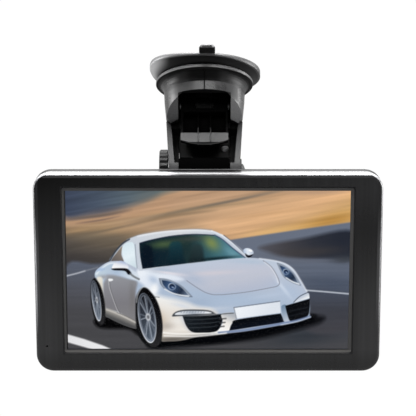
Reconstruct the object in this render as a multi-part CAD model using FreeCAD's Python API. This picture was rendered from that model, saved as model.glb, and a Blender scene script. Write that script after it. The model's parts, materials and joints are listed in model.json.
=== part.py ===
"""Portable GPS navigator on a windscreen suction mount, in millimetres.

Frame: origin at the centre of the touch panel's front face, +Z up, +X to the viewer's right and
+Y away from the viewer, so the screen faces -Y. The mount's own parts are modelled upright on the
tilt bolt's axis (x across, y back, z up towards the glass) and then leaned back by MOUNT_LEAN.
"""
import FreeCAD
import Part

import math
import os

V = FreeCAD.Vector

# Display unit: outer case
CASE_HALF_W = 94.1
CASE_TOP = 54.5
CASE_BOTTOM = -56.8
CASE_CORNER = 9.5
FRONT_Y = -0.8
FRONT_EDGE_R = 1.7
SEAM_Y = 7.6
SHOULDER_Y = 10.4
REAR_Y = 18.6
REAR_INSET = 8.0
WALL = 2.0

# Display unit: screen stack
PANEL_W, PANEL_H, PANEL_T = 157.2, 92.4, 1.0
PANEL_CORNER = 1.6
PANEL_GAP = 0.15
PICTURE_W, PICTURE_H = 153.6, 90.0
WINDOW_MARGIN = 0.4
TAPE_T = 0.2
LEDGE_BACK_Y = 2.0
LCD_W, LCD_H = 165.0, 99.0
LCD_T, BACKLIGHT_T = 2.0, 3.0
LCD_FRONT_Y = 2.05
BACKLIGHT_Y = LCD_FRONT_Y + LCD_T + 0.05
MIC_X, MIC_Z, MIC_HOLE_R = -88.1, -42.3, 0.6

# Display unit: fixings, sockets and button
COVER_SCREWS = [(s * x, z) for s in (-1, 1) for x, z in ((87.2, 47.8), (87.5, -22.0), (87.2, -50.0))]
BOSS_R, PILOT_R, SCREW_R = 2.8, 1.0, 0.95
BOARD_Y, BOARD_T = 8.6, 1.2
BOARD_X0, BOARD_X1, BOARD_Z0, BOARD_Z1 = -84.4, 18.0, -34.0, 34.0
BOARD_SCREWS = [(-72.0, 30.0), (-72.0, -30.0), (15.3, 22.0), (13.5, -30.0)]
BAY_X, BAY_Z0, BAY_Z1, BAY_Y0 = -86.2, -19.0, 33.0, 8.9
BAY_WALL = 1.6
USB_Z, JACK_Z, CARD_Z = 24.0, 9.0, -8.0
JACK_R, JACK_Y, JACK_DEPTH = 1.78, 12.4, 14.0
CARD_W, CARD_L, CARD_T, CARD_Y = 11.0, 15.0, 0.9, 10.2
CARD_REVEAL = 1.2
BUTTON_Z, BUTTON_LEN, BUTTON_Y0, BUTTON_Y1 = 27.0, 10.0, 7.85, 10.05
BUTTON_PROUD = 0.9
SPEAKER_X, SPEAKER_Z, SPEAKER_W, SPEAKER_H = 50.0, -35.5, 40.0, 16.0
GRILLE_COLS, GRILLE_ROWS, GRILLE_PITCH, GRILLE_R = 9, 4, 3.6, 0.9

# Mount: tilt joint, lean and bracket
MOUNT_X = -2.0
BOLT_Y, BOLT_Z = 32.0, 48.0
MOUNT_LEAN = 30.0
BOLT_R, BOLT_HOLE_R = 3.0, 3.05
GAP_HALF = 14.3
WASHER_T, WASHER_R = 0.8, 8.0
KNUCKLE_R = 8.6
KNUCKLE_HALF = GAP_HALF - WASHER_T - 0.1
PLATE_Y, PLATE_T = 18.9, 3.5
PLATE_W, PLATE_Z0, PLATE_Z1 = 38.0, 2.0, 42.0
HOOKS = [(MOUNT_X + s * 13.0, z) for s in (-1, 1) for z in (14.0, 34.0)]
HOOK_W, HOOK_STEM_H, HOOK_TOE = 7.6, 3.4, 3.6
SLOT_W, SLOT_H = 8.4, 10.0
LIFT = 5.2

# Mount: arm, barrel and suction base, heights along the mount's own axis
ARM_FOOT_R = 9.8
ARM_HALF_LOW, ARM_HALF_HIGH, ARM_HIGH = 18.8, 21.5, 31.0
ARM_RIM, ARM_POCKET_DEPTH, ARM_POCKET_W = 2.5, 9.0, 2.8
CHEEK_W0, CHEEK_SLOPE = 29.8, 0.55
CHEEK_TIP_X, CHEEK_TIP_W, CHEEK_SIDE_W, CHEEK_SLOT_W = 19.0, 29.6, 31.9, 31.2
BARREL_TOP_R, BARREL_LOW_R = 22.7, 21.3
BAND_TOP, WINDOW_TOP = 45.8, 41.0
WINDOW_HALF = 14.5
FLOOR_W, BARREL_END = 48.0, 51.9
FLANGE_R, FLANGE_T, FLANGE_HOLE_R = 27.4, 2.5, 13.8
FLANGE_SCREW_R = 18.0
CUP_R, CUP_FACE_W = 31.0, 60.4
TAB_W, TAB_REACH, TAB_T = 8.8, 42.5, 1.5

# Mount: fixings inside the arm
HALF_SCREW_Q, HALF_SCREW_WS = 17.5, (34.2, 43.0)
COVER_SCREW_X, COVER_SCREW_W = 11.6, 18.9

# Mount: lever, pin and plunger
PIN_W, PIN_R, PIN_HOLE_R = 40.0, 1.5, 1.55
LEVER_HALF = 13.2
LEVER_STROKE = 62.0
PULL = 2.4
CAM_R = 7.8
RIB_X = 3.45
STEM_R, STEM_HOLE_R = 4.0, 4.05
FOOT_R, FOOT_T, FOOT_W = 12.0, 1.6, 53.4

# Mount: knob and bolt head
KNOB_SEAT_X, KNOB_GAP = 20.1, 0.15
KNOB_R, KNOB_T, KNOB_LOBES, KNOB_LOBE_H = 12.5, 4.6, 24, 0.45
HEAD_BOSS_R, HEAD_BOSS_T, HEAD_DOME_R = 7.8, 1.3, 5.0

PARTS = {}


# ---------------------------------------------------------------- shape helpers
def box(x0, x1, y0, y1, z0, z1):
    return Part.makeBox(x1 - x0, y1 - y0, z1 - z0, V(x0, y0, z0))


def cyl(radius, length, base, axis):
    return Part.makeCylinder(radius, length, base, axis)


def rounded_wire(y, x0, x1, z0, z1, r):
    """Closed rounded rectangle in the plane at depth y."""
    c = r * (1 - math.sqrt(0.5))
    corner_arcs = [
        (V(x1 - r, y, z0), V(x1 - c, y, z0 + c), V(x1, y, z0 + r)),
        (V(x1, y, z1 - r), V(x1 - c, y, z1 - c), V(x1 - r, y, z1)),
        (V(x0 + r, y, z1), V(x0 + c, y, z1 - c), V(x0, y, z1 - r)),
        (V(x0, y, z0 + r), V(x0 + c, y, z0 + c), V(x0 + r, y, z0)),
    ]
    edges = []
    for i, (a, mid, b) in enumerate(corner_arcs):
        edges.append(Part.Arc(a, mid, b).toShape())
        edges.append(Part.makeLine(b, corner_arcs[(i + 1) % 4][0]))
    return Part.Wire(edges)


def slab(y0, y1, x0, x1, z0, z1, r):
    """Rounded rectangle extruded in depth from y0 to y1."""
    return Part.Face(rounded_wire(y0, x0, x1, z0, z1, r)).extrude(V(0, y1 - y0, 0))


def case_slab(y0, y1, inset):
    """Slab that follows the case outline, pulled in by inset."""
    return slab(y0, y1, -CASE_HALF_W + inset, CASE_HALF_W - inset, CASE_BOTTOM + inset,
                CASE_TOP - inset, CASE_CORNER - inset)


def case_loft(y0, inset0, y1, inset1, r1):
    """Tapered block between two insets of the case outline."""
    wires = []
    for y, inset, r in ((y0, inset0, CASE_CORNER - inset0), (y1, inset1, r1)):
        wires.append(rounded_wire(y, -CASE_HALF_W + inset, CASE_HALF_W - inset,
                                  CASE_BOTTOM + inset, CASE_TOP - inset, r))
    return Part.makeLoft(wires, True, True)


def prism_x(points, x0, x1):
    """Polygon of (y, z) points extruded across from x0 to x1."""
    outline = Part.makePolygon([V(x0, y, z) for y, z in points + points[:1]])
    return Part.Face(outline).extrude(V(x1 - x0, 0, 0))


def prism_y(points, y0, y1):
    """Polygon of (x, z) points extruded in depth from y0 to y1."""
    outline = Part.makePolygon([V(x, y0, z) for x, z in points + points[:1]])
    return Part.Face(outline).extrude(V(0, y1 - y0, 0))


def turned(points):
    """Polygon of (radius, height) points turned about the Z axis."""
    outline = Part.makePolygon([V(r, 0, h) for r, h in points + points[:1]])
    return Part.Face(outline).revolve(V(), V(0, 0, 1), 360)


def fused(shapes):
    shape = shapes[0]
    if len(shapes) > 1:
        shape = shape.fuse(shapes[1:])
    return shape.removeSplitter()


def edges_where(shape, test):
    return [e for e in shape.Edges if test(e.BoundBox)]


def filleted(shape, radius, test):
    """Rounds the edges whose bounding box passes the test."""
    return shape.makeFillet(radius, edges_where(shape, test))


def wire_run(points, radius):
    """Round lead that follows a line of points, with ball corners."""
    pieces = []
    for a, b in zip(points, points[1:]):
        pieces.append(cyl(radius, (b - a).Length, a, b - a))
    pieces += [Part.makeSphere(radius, p) for p in points[1:-1]]
    return fused(pieces)


def from_mount(shape):
    """Leans a mount part back and carries it to the tilt bolt's place."""
    moved = shape.copy()
    moved.rotate(V(), V(1, 0, 0), -MOUNT_LEAN)
    moved.translate(V(MOUNT_X, BOLT_Y, BOLT_Z))
    return moved


def save(name, *solids):
    """Collects a node's solids; fixings that repeat share one node."""
    loose = []
    for shape in solids:
        loose += shape.Solids
    PARTS[name] = Part.makeCompound(loose) if len(loose) > 1 else loose[0]


# ---------------------------------------------------------------- display case
def front_bezel():
    case = case_slab(FRONT_Y, SEAM_Y, 0)
    case = filleted(case, FRONT_EDGE_R, lambda b: b.YMax < FRONT_Y + 1e-3)
    pocket_w, pocket_h = PANEL_W / 2 + PANEL_GAP, PANEL_H / 2 + PANEL_GAP
    pocket = slab(FRONT_Y - 1, PANEL_T + TAPE_T, -pocket_w, pocket_w, -pocket_h, pocket_h, PANEL_CORNER)
    view_w, view_h = PICTURE_W / 2 + WINDOW_MARGIN, PICTURE_H / 2 + WINDOW_MARGIN
    window = slab(0, LEDGE_BACK_Y + 1, -view_w, view_w, -view_h, view_h, 0.8)
    cavity = case_slab(LEDGE_BACK_Y, SEAM_Y + 1, WALL)
    body = case.cut([pocket, window, cavity])
    rim = lambda b: b.YMax < FRONT_Y + 1e-3 and max(abs(b.XMin), abs(b.XMax)) < pocket_w + 0.01
    body = body.makeChamfer(0.35, edges_where(body, rim))
    bosses = [cyl(BOSS_R, SEAM_Y - LEDGE_BACK_Y, V(x, LEDGE_BACK_Y, z), V(0, 1, 0))
              for x, z in COVER_SCREWS]
    pilots = [cyl(PILOT_R, SEAM_Y, V(x, LEDGE_BACK_Y + 1, z), V(0, 1, 0)) for x, z in COVER_SCREWS]
    mic_hole = cyl(MIC_HOLE_R, 5, V(MIC_X, FRONT_Y - 1, MIC_Z), V(0, 1, 0))
    save("front_bezel", fused([body] + bosses).cut(pilots + [mic_hole]))


def rear_shell():
    """Outside form of the rear cover, before anything is cut."""
    reveal = case_slab(SEAM_Y, SEAM_Y + 0.45, 0.45)
    band = case_slab(SEAM_Y + 0.45, SHOULDER_Y, 0)
    back = case_loft(SHOULDER_Y, 0, REAR_Y, REAR_INSET, 6.0)
    shell = fused([reveal, band, back])
    shell = filleted(shell, 2.4, lambda b: b.YMin > REAR_Y - 1e-3)
    return filleted(shell, 1.5, lambda b: abs(b.YMin - SHOULDER_Y) < 1e-3 and b.YLength < 1e-3)


def rear_cavity():
    straight = case_slab(SEAM_Y - 1, SHOULDER_Y, WALL + 0.2)
    tapered = case_loft(SHOULDER_Y, WALL + 0.2, REAR_Y - WALL, REAR_INSET + WALL - 1.2, 4.5)
    return fused([straight, tapered])


def cable_bay(grow):
    """Notch in the left side that the sockets open into; grow adds the wall behind it."""
    block = box(-CASE_HALF_W - 5, BAY_X + grow, BAY_Y0 - grow, REAR_Y + 5, BAY_Z0 - grow, BAY_Z1 + grow)
    return filleted(block, 2.0, lambda b: b.XMin > BAY_X - 1 and b.XLength < 1e-3 and b.YLength > 5)


def socket_openings():
    usb_mouth = box(-90, -82, 9.65, 13.15, USB_Z - 4.7, USB_Z + 4.7)
    jack_mouth = cyl(2.9, 8, V(-90, JACK_Y, JACK_Z), V(1, 0, 0))
    card_mouth = box(-90, -82, CARD_Y - 0.35, CARD_Y + CARD_T + 0.35, CARD_Z - 6.1, CARD_Z + 6.1)
    return [usb_mouth, jack_mouth, card_mouth]


def grille_holes():
    holes = []
    for row in range(GRILLE_ROWS):
        for col in range(GRILLE_COLS):
            x = SPEAKER_X + (col - (GRILLE_COLS - 1) / 2) * GRILLE_PITCH
            z = SPEAKER_Z + (row - (GRILLE_ROWS - 1) / 2) * GRILLE_PITCH
            holes.append(cyl(GRILLE_R, 6, V(x, REAR_Y - 4, z), V(0, 1, 0)))
    return holes


def vent_slots():
    """Two banks of cooling slots high and low on the left of the back."""
    return [slab(REAR_Y - 4, REAR_Y + 1, -72 + 5.2 * i, -69.8 + 5.2 * i, z0, z0 + 12, 1.05)
            for i in range(7) for z0 in (24.0, -38.0)]


def rear_cover():
    cover = rear_shell().cut([rear_cavity().cut(cable_bay(BAY_WALL)), cable_bay(0)])
    posts = []
    for x, z in COVER_SCREWS:
        posts.append(cyl(BOSS_R + 0.3, REAR_Y, V(x, SEAM_Y, z), V(0, 1, 0)))
    for x, z in BOARD_SCREWS:
        posts.append(cyl(2.6, REAR_Y - BOARD_Y - BOARD_T - 0.5, V(x, BOARD_Y + BOARD_T, z), V(0, 1, 0)))
    cover = fused([cover, Part.makeCompound(posts).common(rear_shell())])
    cuts = socket_openings() + grille_holes() + vent_slots()
    for x, z in COVER_SCREWS:
        cuts.append(cyl(SCREW_R + 0.2, 20, V(x, SEAM_Y - 1, z), V(0, 1, 0)))
        cuts.append(cyl(BOSS_R - 0.6, 20, V(x, SEAM_Y + 3.0, z), V(0, 1, 0)))
    for x, z in BOARD_SCREWS:
        cuts.append(cyl(PILOT_R, 5.2, V(x, BOARD_Y, z), V(0, 1, 0)))
    for x, z in HOOKS:
        cuts.append(slab(REAR_Y - 4, REAR_Y + 1, x - SLOT_W / 2, x + SLOT_W / 2, z - SLOT_H, z, 0.6))
    cuts.append(box(CASE_HALF_W - 4, CASE_HALF_W + 1, SEAM_Y - 1, BUTTON_Y1 + 0.15,
                    BUTTON_Z - BUTTON_LEN / 2 - 0.15, BUTTON_Z + BUTTON_LEN / 2 + 0.15))
    save("rear_cover", cover.cut(cuts))


def cover_screws():
    screws = []
    for x, z in COVER_SCREWS:
        head = cyl(1.9, 1.3, V(x, SEAM_Y + 3.0, z), V(0, 1, 0))
        slot = box(x - 1.1, x + 1.1, SEAM_Y + 3.7, SEAM_Y + 5, z - 0.25, z + 0.25)
        cross = box(x - 0.25, x + 0.25, SEAM_Y + 3.7, SEAM_Y + 5, z - 1.1, z + 1.1)
        shank = cyl(SCREW_R, 7.0, V(x, SEAM_Y - 4.0, z), V(0, 1, 0))
        screws.append(fused([head, shank]).cut([slot, cross]))
    save("cover_screws", *screws)


# ---------------------------------------------------------------- screen stack
def screen_stack():
    half_w, half_h = PANEL_W / 2, PANEL_H / 2
    panel = slab(0, PANEL_T, -half_w, half_w, -half_h, half_h, PANEL_CORNER - PANEL_GAP)
    save("touch_panel", panel)
    view_w, view_h = PICTURE_W / 2 + WINDOW_MARGIN, PICTURE_H / 2 + WINDOW_MARGIN
    ring = slab(PANEL_T, PANEL_T + TAPE_T, -half_w, half_w, -half_h, half_h, PANEL_CORNER - PANEL_GAP)
    hole = slab(0, 5, -PICTURE_W / 2, PICTURE_W / 2, -PICTURE_H / 2, PICTURE_H / 2, 0.5)
    save("panel_tape", ring.cut(hole))
    lcd = slab(LCD_FRONT_Y, LCD_FRONT_Y + LCD_T, -LCD_W / 2, LCD_W / 2, -LCD_H / 2, LCD_H / 2, 0.8)
    save("lcd_panel", lcd)
    tray = slab(BACKLIGHT_Y, BACKLIGHT_Y + BACKLIGHT_T, -LCD_W / 2, LCD_W / 2, -LCD_H / 2, LCD_H / 2, 0.8)
    inner = slab(BACKLIGHT_Y - 1, BACKLIGHT_Y + BACKLIGHT_T - 0.5, -LCD_W / 2 + 0.6, LCD_W / 2 - 0.6,
                 -LCD_H / 2 + 0.6, LCD_H / 2 - 0.6, 0.6)
    save("backlight_tray", tray.cut(inner))
    guide = slab(BACKLIGHT_Y + 0.2, BACKLIGHT_Y + BACKLIGHT_T - 0.6, -LCD_W / 2 + 0.8, LCD_W / 2 - 0.8,
                 -LCD_H / 2 + 0.8, LCD_H / 2 - 0.8, 0.5)
    save("light_guide", guide)
    low = -LCD_H / 2 - 1.2
    t = 0.2
    path = [(LCD_FRONT_Y + 0.6, -LCD_H / 2 - 0.02), (LCD_FRONT_Y + 0.6, low), (BOARD_Y - 0.6, low),
            (BOARD_Y - 0.6, -30.0), (BOARD_Y - 0.6 + t, -30.0), (BOARD_Y - 0.6 + t, low - t),
            (LCD_FRONT_Y + 0.6 - t, low - t), (LCD_FRONT_Y + 0.6 - t, -LCD_H / 2 - 0.02)]
    save("screen_flex", prism_x(path, -30.0, 0.0))


# ---------------------------------------------------------------- electronics
def main_board():
    board = box(BOARD_X0, BOARD_X1, BOARD_Y, BOARD_Y + BOARD_T, BOARD_Z0, BOARD_Z1)
    holes = [cyl(PILOT_R + 0.1, 5, V(x, BOARD_Y - 1, z), V(0, 1, 0)) for x, z in BOARD_SCREWS]
    save("main_board", board.cut(holes))
    screws = []
    for x, z in BOARD_SCREWS:
        head = cyl(2.1, 0.9, V(x, BOARD_Y - 0.95, z), V(0, 1, 0))
        screws.append(fused([head, cyl(SCREW_R, 4.6, V(x, BOARD_Y - 0.1, z), V(0, 1, 0))]))
    save("board_screws", *screws)


def board_parts():
    top = BOARD_Y + BOARD_T
    can = box(-46, -20, top, top + 2.4, -14, 14)
    can = filleted(can, 0.6, lambda b: b.YMin > top + 2.3 or b.YLength > 2.3)
    save("shield_can", can.cut(box(-45.7, -20.3, top - 1, top + 2.1, -13.7, 13.7)))
    cpu = box(-40, -26, top, top + 1.4, -7, 7)
    save("processor", cpu)
    chips = [box(-14 + 11 * i, -6 + 11 * i, top, top + 1.1, -11, -4) for i in range(2)]
    chips += [box(-14 + 7 * i, -9 + 7 * i, top, top + 1.6, 4, 9) for i in range(4)]
    chips += [cyl(2.4, 2.2, V(-60 + 8 * i, top, -25), V(0, 1, 0)) for i in range(3)]
    chips += [box(-64 + 3.2 * i, -62.4 + 3.2 * i, top, top + 0.8, 18, 19) for i in range(8)]
    save("board_chips", *chips)
    connectors = [box(4, 10, top, top + 2.2, 14 + 9 * i, 20 + 9 * i) for i in range(2)]
    connectors += [box(-28, -2, BOARD_Y - 0.35, BOARD_Y, -33.5, -31.0)]
    save("board_connectors", *connectors)


def sockets():
    top = BOARD_Y + BOARD_T
    shell = Part.Face(usb_wire(BAY_X, 4.45, 1.6)).extrude(V(8.4, 0, 0))
    hollow = Part.Face(usb_wire(BAY_X - 1, 4.15, 1.3)).extrude(V(7.8, 0, 0))
    tongue = box(BAY_X + 1, BAY_X + 7.6, top + 1.3, top + 1.9, USB_Z - 3.3, USB_Z + 3.3)
    save("usb_socket", fused([shell.cut(hollow), tongue]))
    body = box(BAY_X + BAY_WALL, BAY_X + JACK_DEPTH, top, top + 5.2, JACK_Z - 3.2, JACK_Z + 3.2)
    nose = cyl(2.75, BAY_WALL + 0.2, V(BAY_X, JACK_Y, JACK_Z), V(1, 0, 0))
    bore = cyl(JACK_R, JACK_DEPTH - 1.2, V(BAY_X - 0.1, JACK_Y, JACK_Z), V(1, 0, 0))
    save("audio_jack", fused([body, nose]).cut(bore))
    cage = box(BAY_X + BAY_WALL + 0.2, BAY_X + 15.6, top, CARD_Y + CARD_T + 0.5, CARD_Z - 7, CARD_Z + 7)
    slot = box(BAY_X, BAY_X + 14.6, CARD_Y - 0.1, CARD_Y + CARD_T + 0.1, CARD_Z - 5.65, CARD_Z + 5.65)
    save("card_socket", cage.cut(slot))


def usb_wire(x, half_w, half_h):
    """Obround mouth of the power socket, in the plane at x."""
    y = BOARD_Y + BOARD_T + 1.6
    z0, z1 = USB_Z - half_w + half_h, USB_Z + half_w - half_h
    return Part.Wire([
        Part.Arc(V(x, y - half_h, z0), V(x, y, z0 - half_h), V(x, y + half_h, z0)).toShape(),
        Part.makeLine(V(x, y + half_h, z0), V(x, y + half_h, z1)),
        Part.Arc(V(x, y + half_h, z1), V(x, y, z1 + half_h), V(x, y - half_h, z1)).toShape(),
        Part.makeLine(V(x, y - half_h, z1), V(x, y - half_h, z0)),
    ])


def memory_card():
    x0 = BAY_X - CARD_REVEAL
    card = box(x0, x0 + CARD_L, CARD_Y, CARD_Y + CARD_T, CARD_Z - CARD_W / 2, CARD_Z + CARD_W / 2)
    notch = box(x0 + CARD_L - 6, x0 + CARD_L + 1, CARD_Y - 1, CARD_Y + 2, CARD_Z + CARD_W / 2 - 1.3,
                CARD_Z + CARD_W / 2 + 1)
    grip = box(x0 - 0.1, x0 + 0.9, CARD_Y + CARD_T - 0.25, CARD_Y + 2, CARD_Z - 4, CARD_Z + 4)
    save("memory_card", card.cut([notch, grip]))


def power_button():
    x_out = CASE_HALF_W + BUTTON_PROUD
    half = BUTTON_LEN / 2
    cap = box(CASE_HALF_W - 3.4, x_out, BUTTON_Y0, BUTTON_Y1, BUTTON_Z - half, BUTTON_Z + half)
    cap = filleted(cap, 0.7, lambda b: b.XMin > x_out - 1e-3)
    flange = box(CASE_HALF_W - 4.4, CASE_HALF_W - 2.9, BUTTON_Y0, BUTTON_Y1 + 0.3,
                 BUTTON_Z - half - 1.6, BUTTON_Z + half + 1.6)
    save("power_button", fused([cap, flange]))
    board = box(84.2, 85.2, BUTTON_Y0, 14.0, BUTTON_Z - 7, BUTTON_Z + 7)
    save("button_board", board)
    switch = box(85.2, 87.6, BUTTON_Y0 + 0.3, BUTTON_Y0 + 4.3, BUTTON_Z - 2.6, BUTTON_Z + 2.6)
    stem = cyl(0.9, 1.2, V(87.5, BUTTON_Y0 + 1.5, BUTTON_Z), V(1, 0, 0))
    save("power_switch", fused([switch, stem]))


def sound_parts():
    half_w, half_h = SPEAKER_W / 2, SPEAKER_H / 2
    y1 = REAR_Y - WALL - 0.25
    x0, x1, z0, z1 = SPEAKER_X - half_w, SPEAKER_X + half_w, SPEAKER_Z - half_h, SPEAKER_Z + half_h
    frame = slab(y1 - 2.4, y1, x0, x1, z0, z1, 5)
    well = slab(y1 - 1.6, y1 + 1, x0 + 2, x1 - 2, z0 + 2, z1 - 2, 4)
    save("speaker_frame", frame.cut(well))
    cone = slab(y1 - 1.55, y1 - 0.9, x0 + 2.1, x1 - 2.1, z0 + 2.1, z1 - 2.1, 3.9)
    dome = slab(y1 - 0.9, y1 - 0.3, SPEAKER_X - 9, SPEAKER_X + 9, SPEAKER_Z - 3.4, SPEAKER_Z + 3.4, 3.3)
    save("speaker_cone", fused([cone, dome]))
    magnet = slab(y1 - 4.6, y1 - 2.45, SPEAKER_X - 10, SPEAKER_X + 10, SPEAKER_Z - 5, SPEAKER_Z + 5, 1.5)
    save("speaker_magnet", magnet)
    cloth = slab(y1 + 0.02, REAR_Y - WALL - 0.02, x0, x1, z0, z1, 5)
    save("speaker_cloth", cloth)
    boot = cyl(2.9, 2.0, V(MIC_X, LEDGE_BACK_Y + 0.02, MIC_Z), V(0, 1, 0))
    boot = boot.cut([cyl(2.05, 3, V(MIC_X, LEDGE_BACK_Y + 0.5, MIC_Z), V(0, 1, 0)),
                     cyl(MIC_HOLE_R, 3, V(MIC_X, LEDGE_BACK_Y - 1, MIC_Z), V(0, 1, 0))])
    save("mic_boot", boot)
    save("microphone", cyl(2.0, 1.4, V(MIC_X, LEDGE_BACK_Y + 0.55, MIC_Z), V(0, 1, 0)))


def battery_and_antenna():
    cell = slab(8.0, 13.0, 28.0, 78.0, -21.0, 30.0, 2.4)
    cell = filleted(cell, 1.2, lambda b: b.YLength < 1e-3)
    save("battery_pack", cell)
    save("antenna_base", box(47, 67, 8.0, 8.8, 32.5, 49.5))
    patch = filleted(box(48, 66, 8.82, 12.4, 33, 49), 0.8, lambda b: b.YLength > 3)
    save("antenna_patch", patch)
    leads = [wire_run([V(27.6, 9.5 + i, 20), V(22, 9.5 + i, 20 - i), V(22, 10.9 + 0.1 * i, 17 - i),
                       V(10.2, 10.9 + 0.1 * i, 17 - i)], 0.4) for i in (0, 1.2)]
    leads.append(wire_run([V(46.8, 8.4, 40), V(24, 8.4, 40), V(24, 10.8, 36), V(20, 10.8, 28),
                           V(10.2, 10.8, 28)],
                          0.55))
    leads.append(wire_run([V(39.5, 12.0, -33), V(22.5, 12.0, -30), V(22.5, 12.4, 26.0),
                           V(10.2, 11.0, 26.0)], 0.4))
    save("wire_leads", *leads)


# ---------------------------------------------------------------- tilting bracket
def display_bracket():
    x0, x1 = MOUNT_X - PLATE_W / 2, MOUNT_X + PLATE_W / 2
    plate = slab(PLATE_Y, PLATE_Y + PLATE_T, x0, x1, PLATE_Z0, PLATE_Z1, 5)
    plate = filleted(plate, 1.0, lambda b: b.YMin > PLATE_Y + PLATE_T - 1e-3)
    knuckle = cyl(KNUCKLE_R, 2 * KNUCKLE_HALF, V(MOUNT_X - KNUCKLE_HALF, BOLT_Y, BOLT_Z), V(1, 0, 0))
    low_angle, high_angle = math.radians(50), math.radians(40)
    back, low = BOLT_Y + KNUCKLE_R * math.cos(low_angle), BOLT_Z - KNUCKLE_R * math.sin(low_angle)
    front, high = BOLT_Y - KNUCKLE_R * math.cos(high_angle), BOLT_Z + KNUCKLE_R * math.sin(high_angle)
    neck = prism_x([(PLATE_Y + 1, 14.0), (back, low), (BOLT_Y, BOLT_Z), (front, high), (PLATE_Y + 1, 40.0)],
                   MOUNT_X - 11.5, MOUNT_X + 11.5)
    pocket = [(PLATE_Y + PLATE_T + 0.6, 17.0), (BOLT_Y + 2.4, BOLT_Z - 9.2),
              (PLATE_Y + PLATE_T + 0.6, 32.5)]
    pockets = [prism_x(pocket, MOUNT_X + side * 5.6 - 4.3, MOUNT_X + side * 5.6 + 4.3) for side in (-1, 1)]
    hooks = []
    for x, z in HOOKS:
        stem_top = z - 0.2
        stem = box(x - HOOK_W / 2, x + HOOK_W / 2, REAR_Y - WALL - 2.3, PLATE_Y + 1,
                   stem_top - HOOK_STEM_H, stem_top)
        toe = box(x - HOOK_W / 2, x + HOOK_W / 2, REAR_Y - WALL - 2.3, REAR_Y - WALL - 0.3,
                  stem_top - 0.5, stem_top + HOOK_TOE)
        hooks += [stem, filleted(toe, 0.6, lambda b, t=stem_top: b.ZMin > t + HOOK_TOE - 1e-3)]
    body = fused([plate, knuckle, neck] + hooks)
    bore = cyl(BOLT_HOLE_R, 60, V(MOUNT_X - 30, BOLT_Y, BOLT_Z), V(1, 0, 0))
    save("display_bracket", body.cut([bore] + pockets))


def friction_washers():
    washers = []
    for side in (-1, 1):
        x = side * GAP_HALF - (WASHER_T if side > 0 else 0) - side * 0.05
        ring = cyl(WASHER_R, WASHER_T, V(x, 0, 0), V(1, 0, 0))
        washers.append(from_mount(ring.cut(cyl(BOLT_HOLE_R, 5, V(x - 1, 0, 0), V(1, 0, 0)))))
    save("friction_washers", *washers)


# ---------------------------------------------------------------- mount arm
def arm_block():
    """Two side arms as one block: a side view and a front view that meet."""
    foot = cyl(ARM_FOOT_R, 60, V(-30, 0, 0), V(1, 0, 0))
    side = prism_x([(-ARM_FOOT_R + 0.9, 4.0), (1.8, 30.5), (1.8, 44.0), (17.0, 44.0), (17.0, 22.0),
                    (ARM_FOOT_R - 0.6, 3.0), (0, 0)], -30, 30)
    front = prism_y([(-ARM_HALF_LOW, -12), (ARM_HALF_LOW, -12), (ARM_HALF_HIGH, ARM_HIGH),
                     (ARM_HALF_HIGH, 50), (-ARM_HALF_HIGH, 50), (-ARM_HALF_HIGH, ARM_HIGH)], -30, 30)
    blend = turned([(0, -12), (34, -12), (34, 2), (ARM_HALF_HIGH + 0.3, ARM_HIGH), (BARREL_LOW_R, ARM_HIGH),
                    (BARREL_LOW_R, 50), (0, 50)])
    return fused([foot, side]).common(front).common(blend)


def arm_recesses():
    """Pockets in the arms' front faces that leave an outer rim and open to the gap."""
    low_q, high_q = -ARM_FOOT_R + 0.9 + ARM_POCKET_DEPTH, 1.8 + ARM_POCKET_DEPTH
    depth = prism_x([(-30, ARM_POCKET_W), (-6.0, ARM_POCKET_W), (low_q, 6.2), (high_q, 30.5),
                     (high_q, 32.0), (-30, 32.0)], -30, 30)
    cuts = []
    for side in (-1, 1):
        low, high = ARM_HALF_LOW + 0.3 - ARM_RIM, ARM_HALF_HIGH - ARM_RIM
        outline = prism_y([(side * (GAP_HALF - 2), ARM_POCKET_W), (side * low, ARM_POCKET_W),
                           (side * high, 32.0), (side * (GAP_HALF - 2), 32.0)], -30, 30)
        cuts.append(outline.common(depth))
    return cuts


def barrel_block():
    """Barrel that flares into the base, its lower end cut slantwise to two pointed cheeks."""
    profile = [(0, 8.0), (BARREL_LOW_R - 0.6, 8.0), (BARREL_LOW_R, 30.0), (BARREL_TOP_R - 0.25, WINDOW_TOP),
               (BARREL_TOP_R, BAND_TOP)]
    angles = [math.radians(15 * i) for i in range(7)]
    flare_low, flare_rise = BAND_TOP + 0.5, BARREL_END - BAND_TOP - 0.5
    flare = [(BARREL_TOP_R + 0.1 + 3.4 * (1 - math.cos(a)), flare_low + flare_rise * math.sin(a))
             for a in angles]
    block = turned(profile + flare + [(0, BARREL_END)])
    reach = 40
    slant = prism_x([(-reach, CHEEK_W0 + CHEEK_SLOPE * reach), (reach, CHEEK_W0 - CHEEK_SLOPE * reach),
                     (reach, -20), (-reach, -20)], -40, 40)
    corner_w = CHEEK_W0 + CHEEK_SLOPE * math.sqrt(BARREL_TOP_R ** 2 - WINDOW_HALF ** 2)
    cuts = [slant.cut(box(-WINDOW_HALF, WINDOW_HALF, -30, 0, corner_w, 60))]
    for side in (-1, 1):
        outline = [(side * ARM_HALF_HIGH, CHEEK_SIDE_W), (side * CHEEK_TIP_X, CHEEK_TIP_W),
                   (side * GAP_HALF, CHEEK_SLOT_W), (side * (GAP_HALF - 2), CHEEK_SLOT_W),
                   (side * (GAP_HALF - 2), 0), (side * 30, 0), (side * 30, CHEEK_SIDE_W)]
        cuts.append(prism_y(outline, -30, 4.0))
    return block.cut(cuts)


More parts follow.
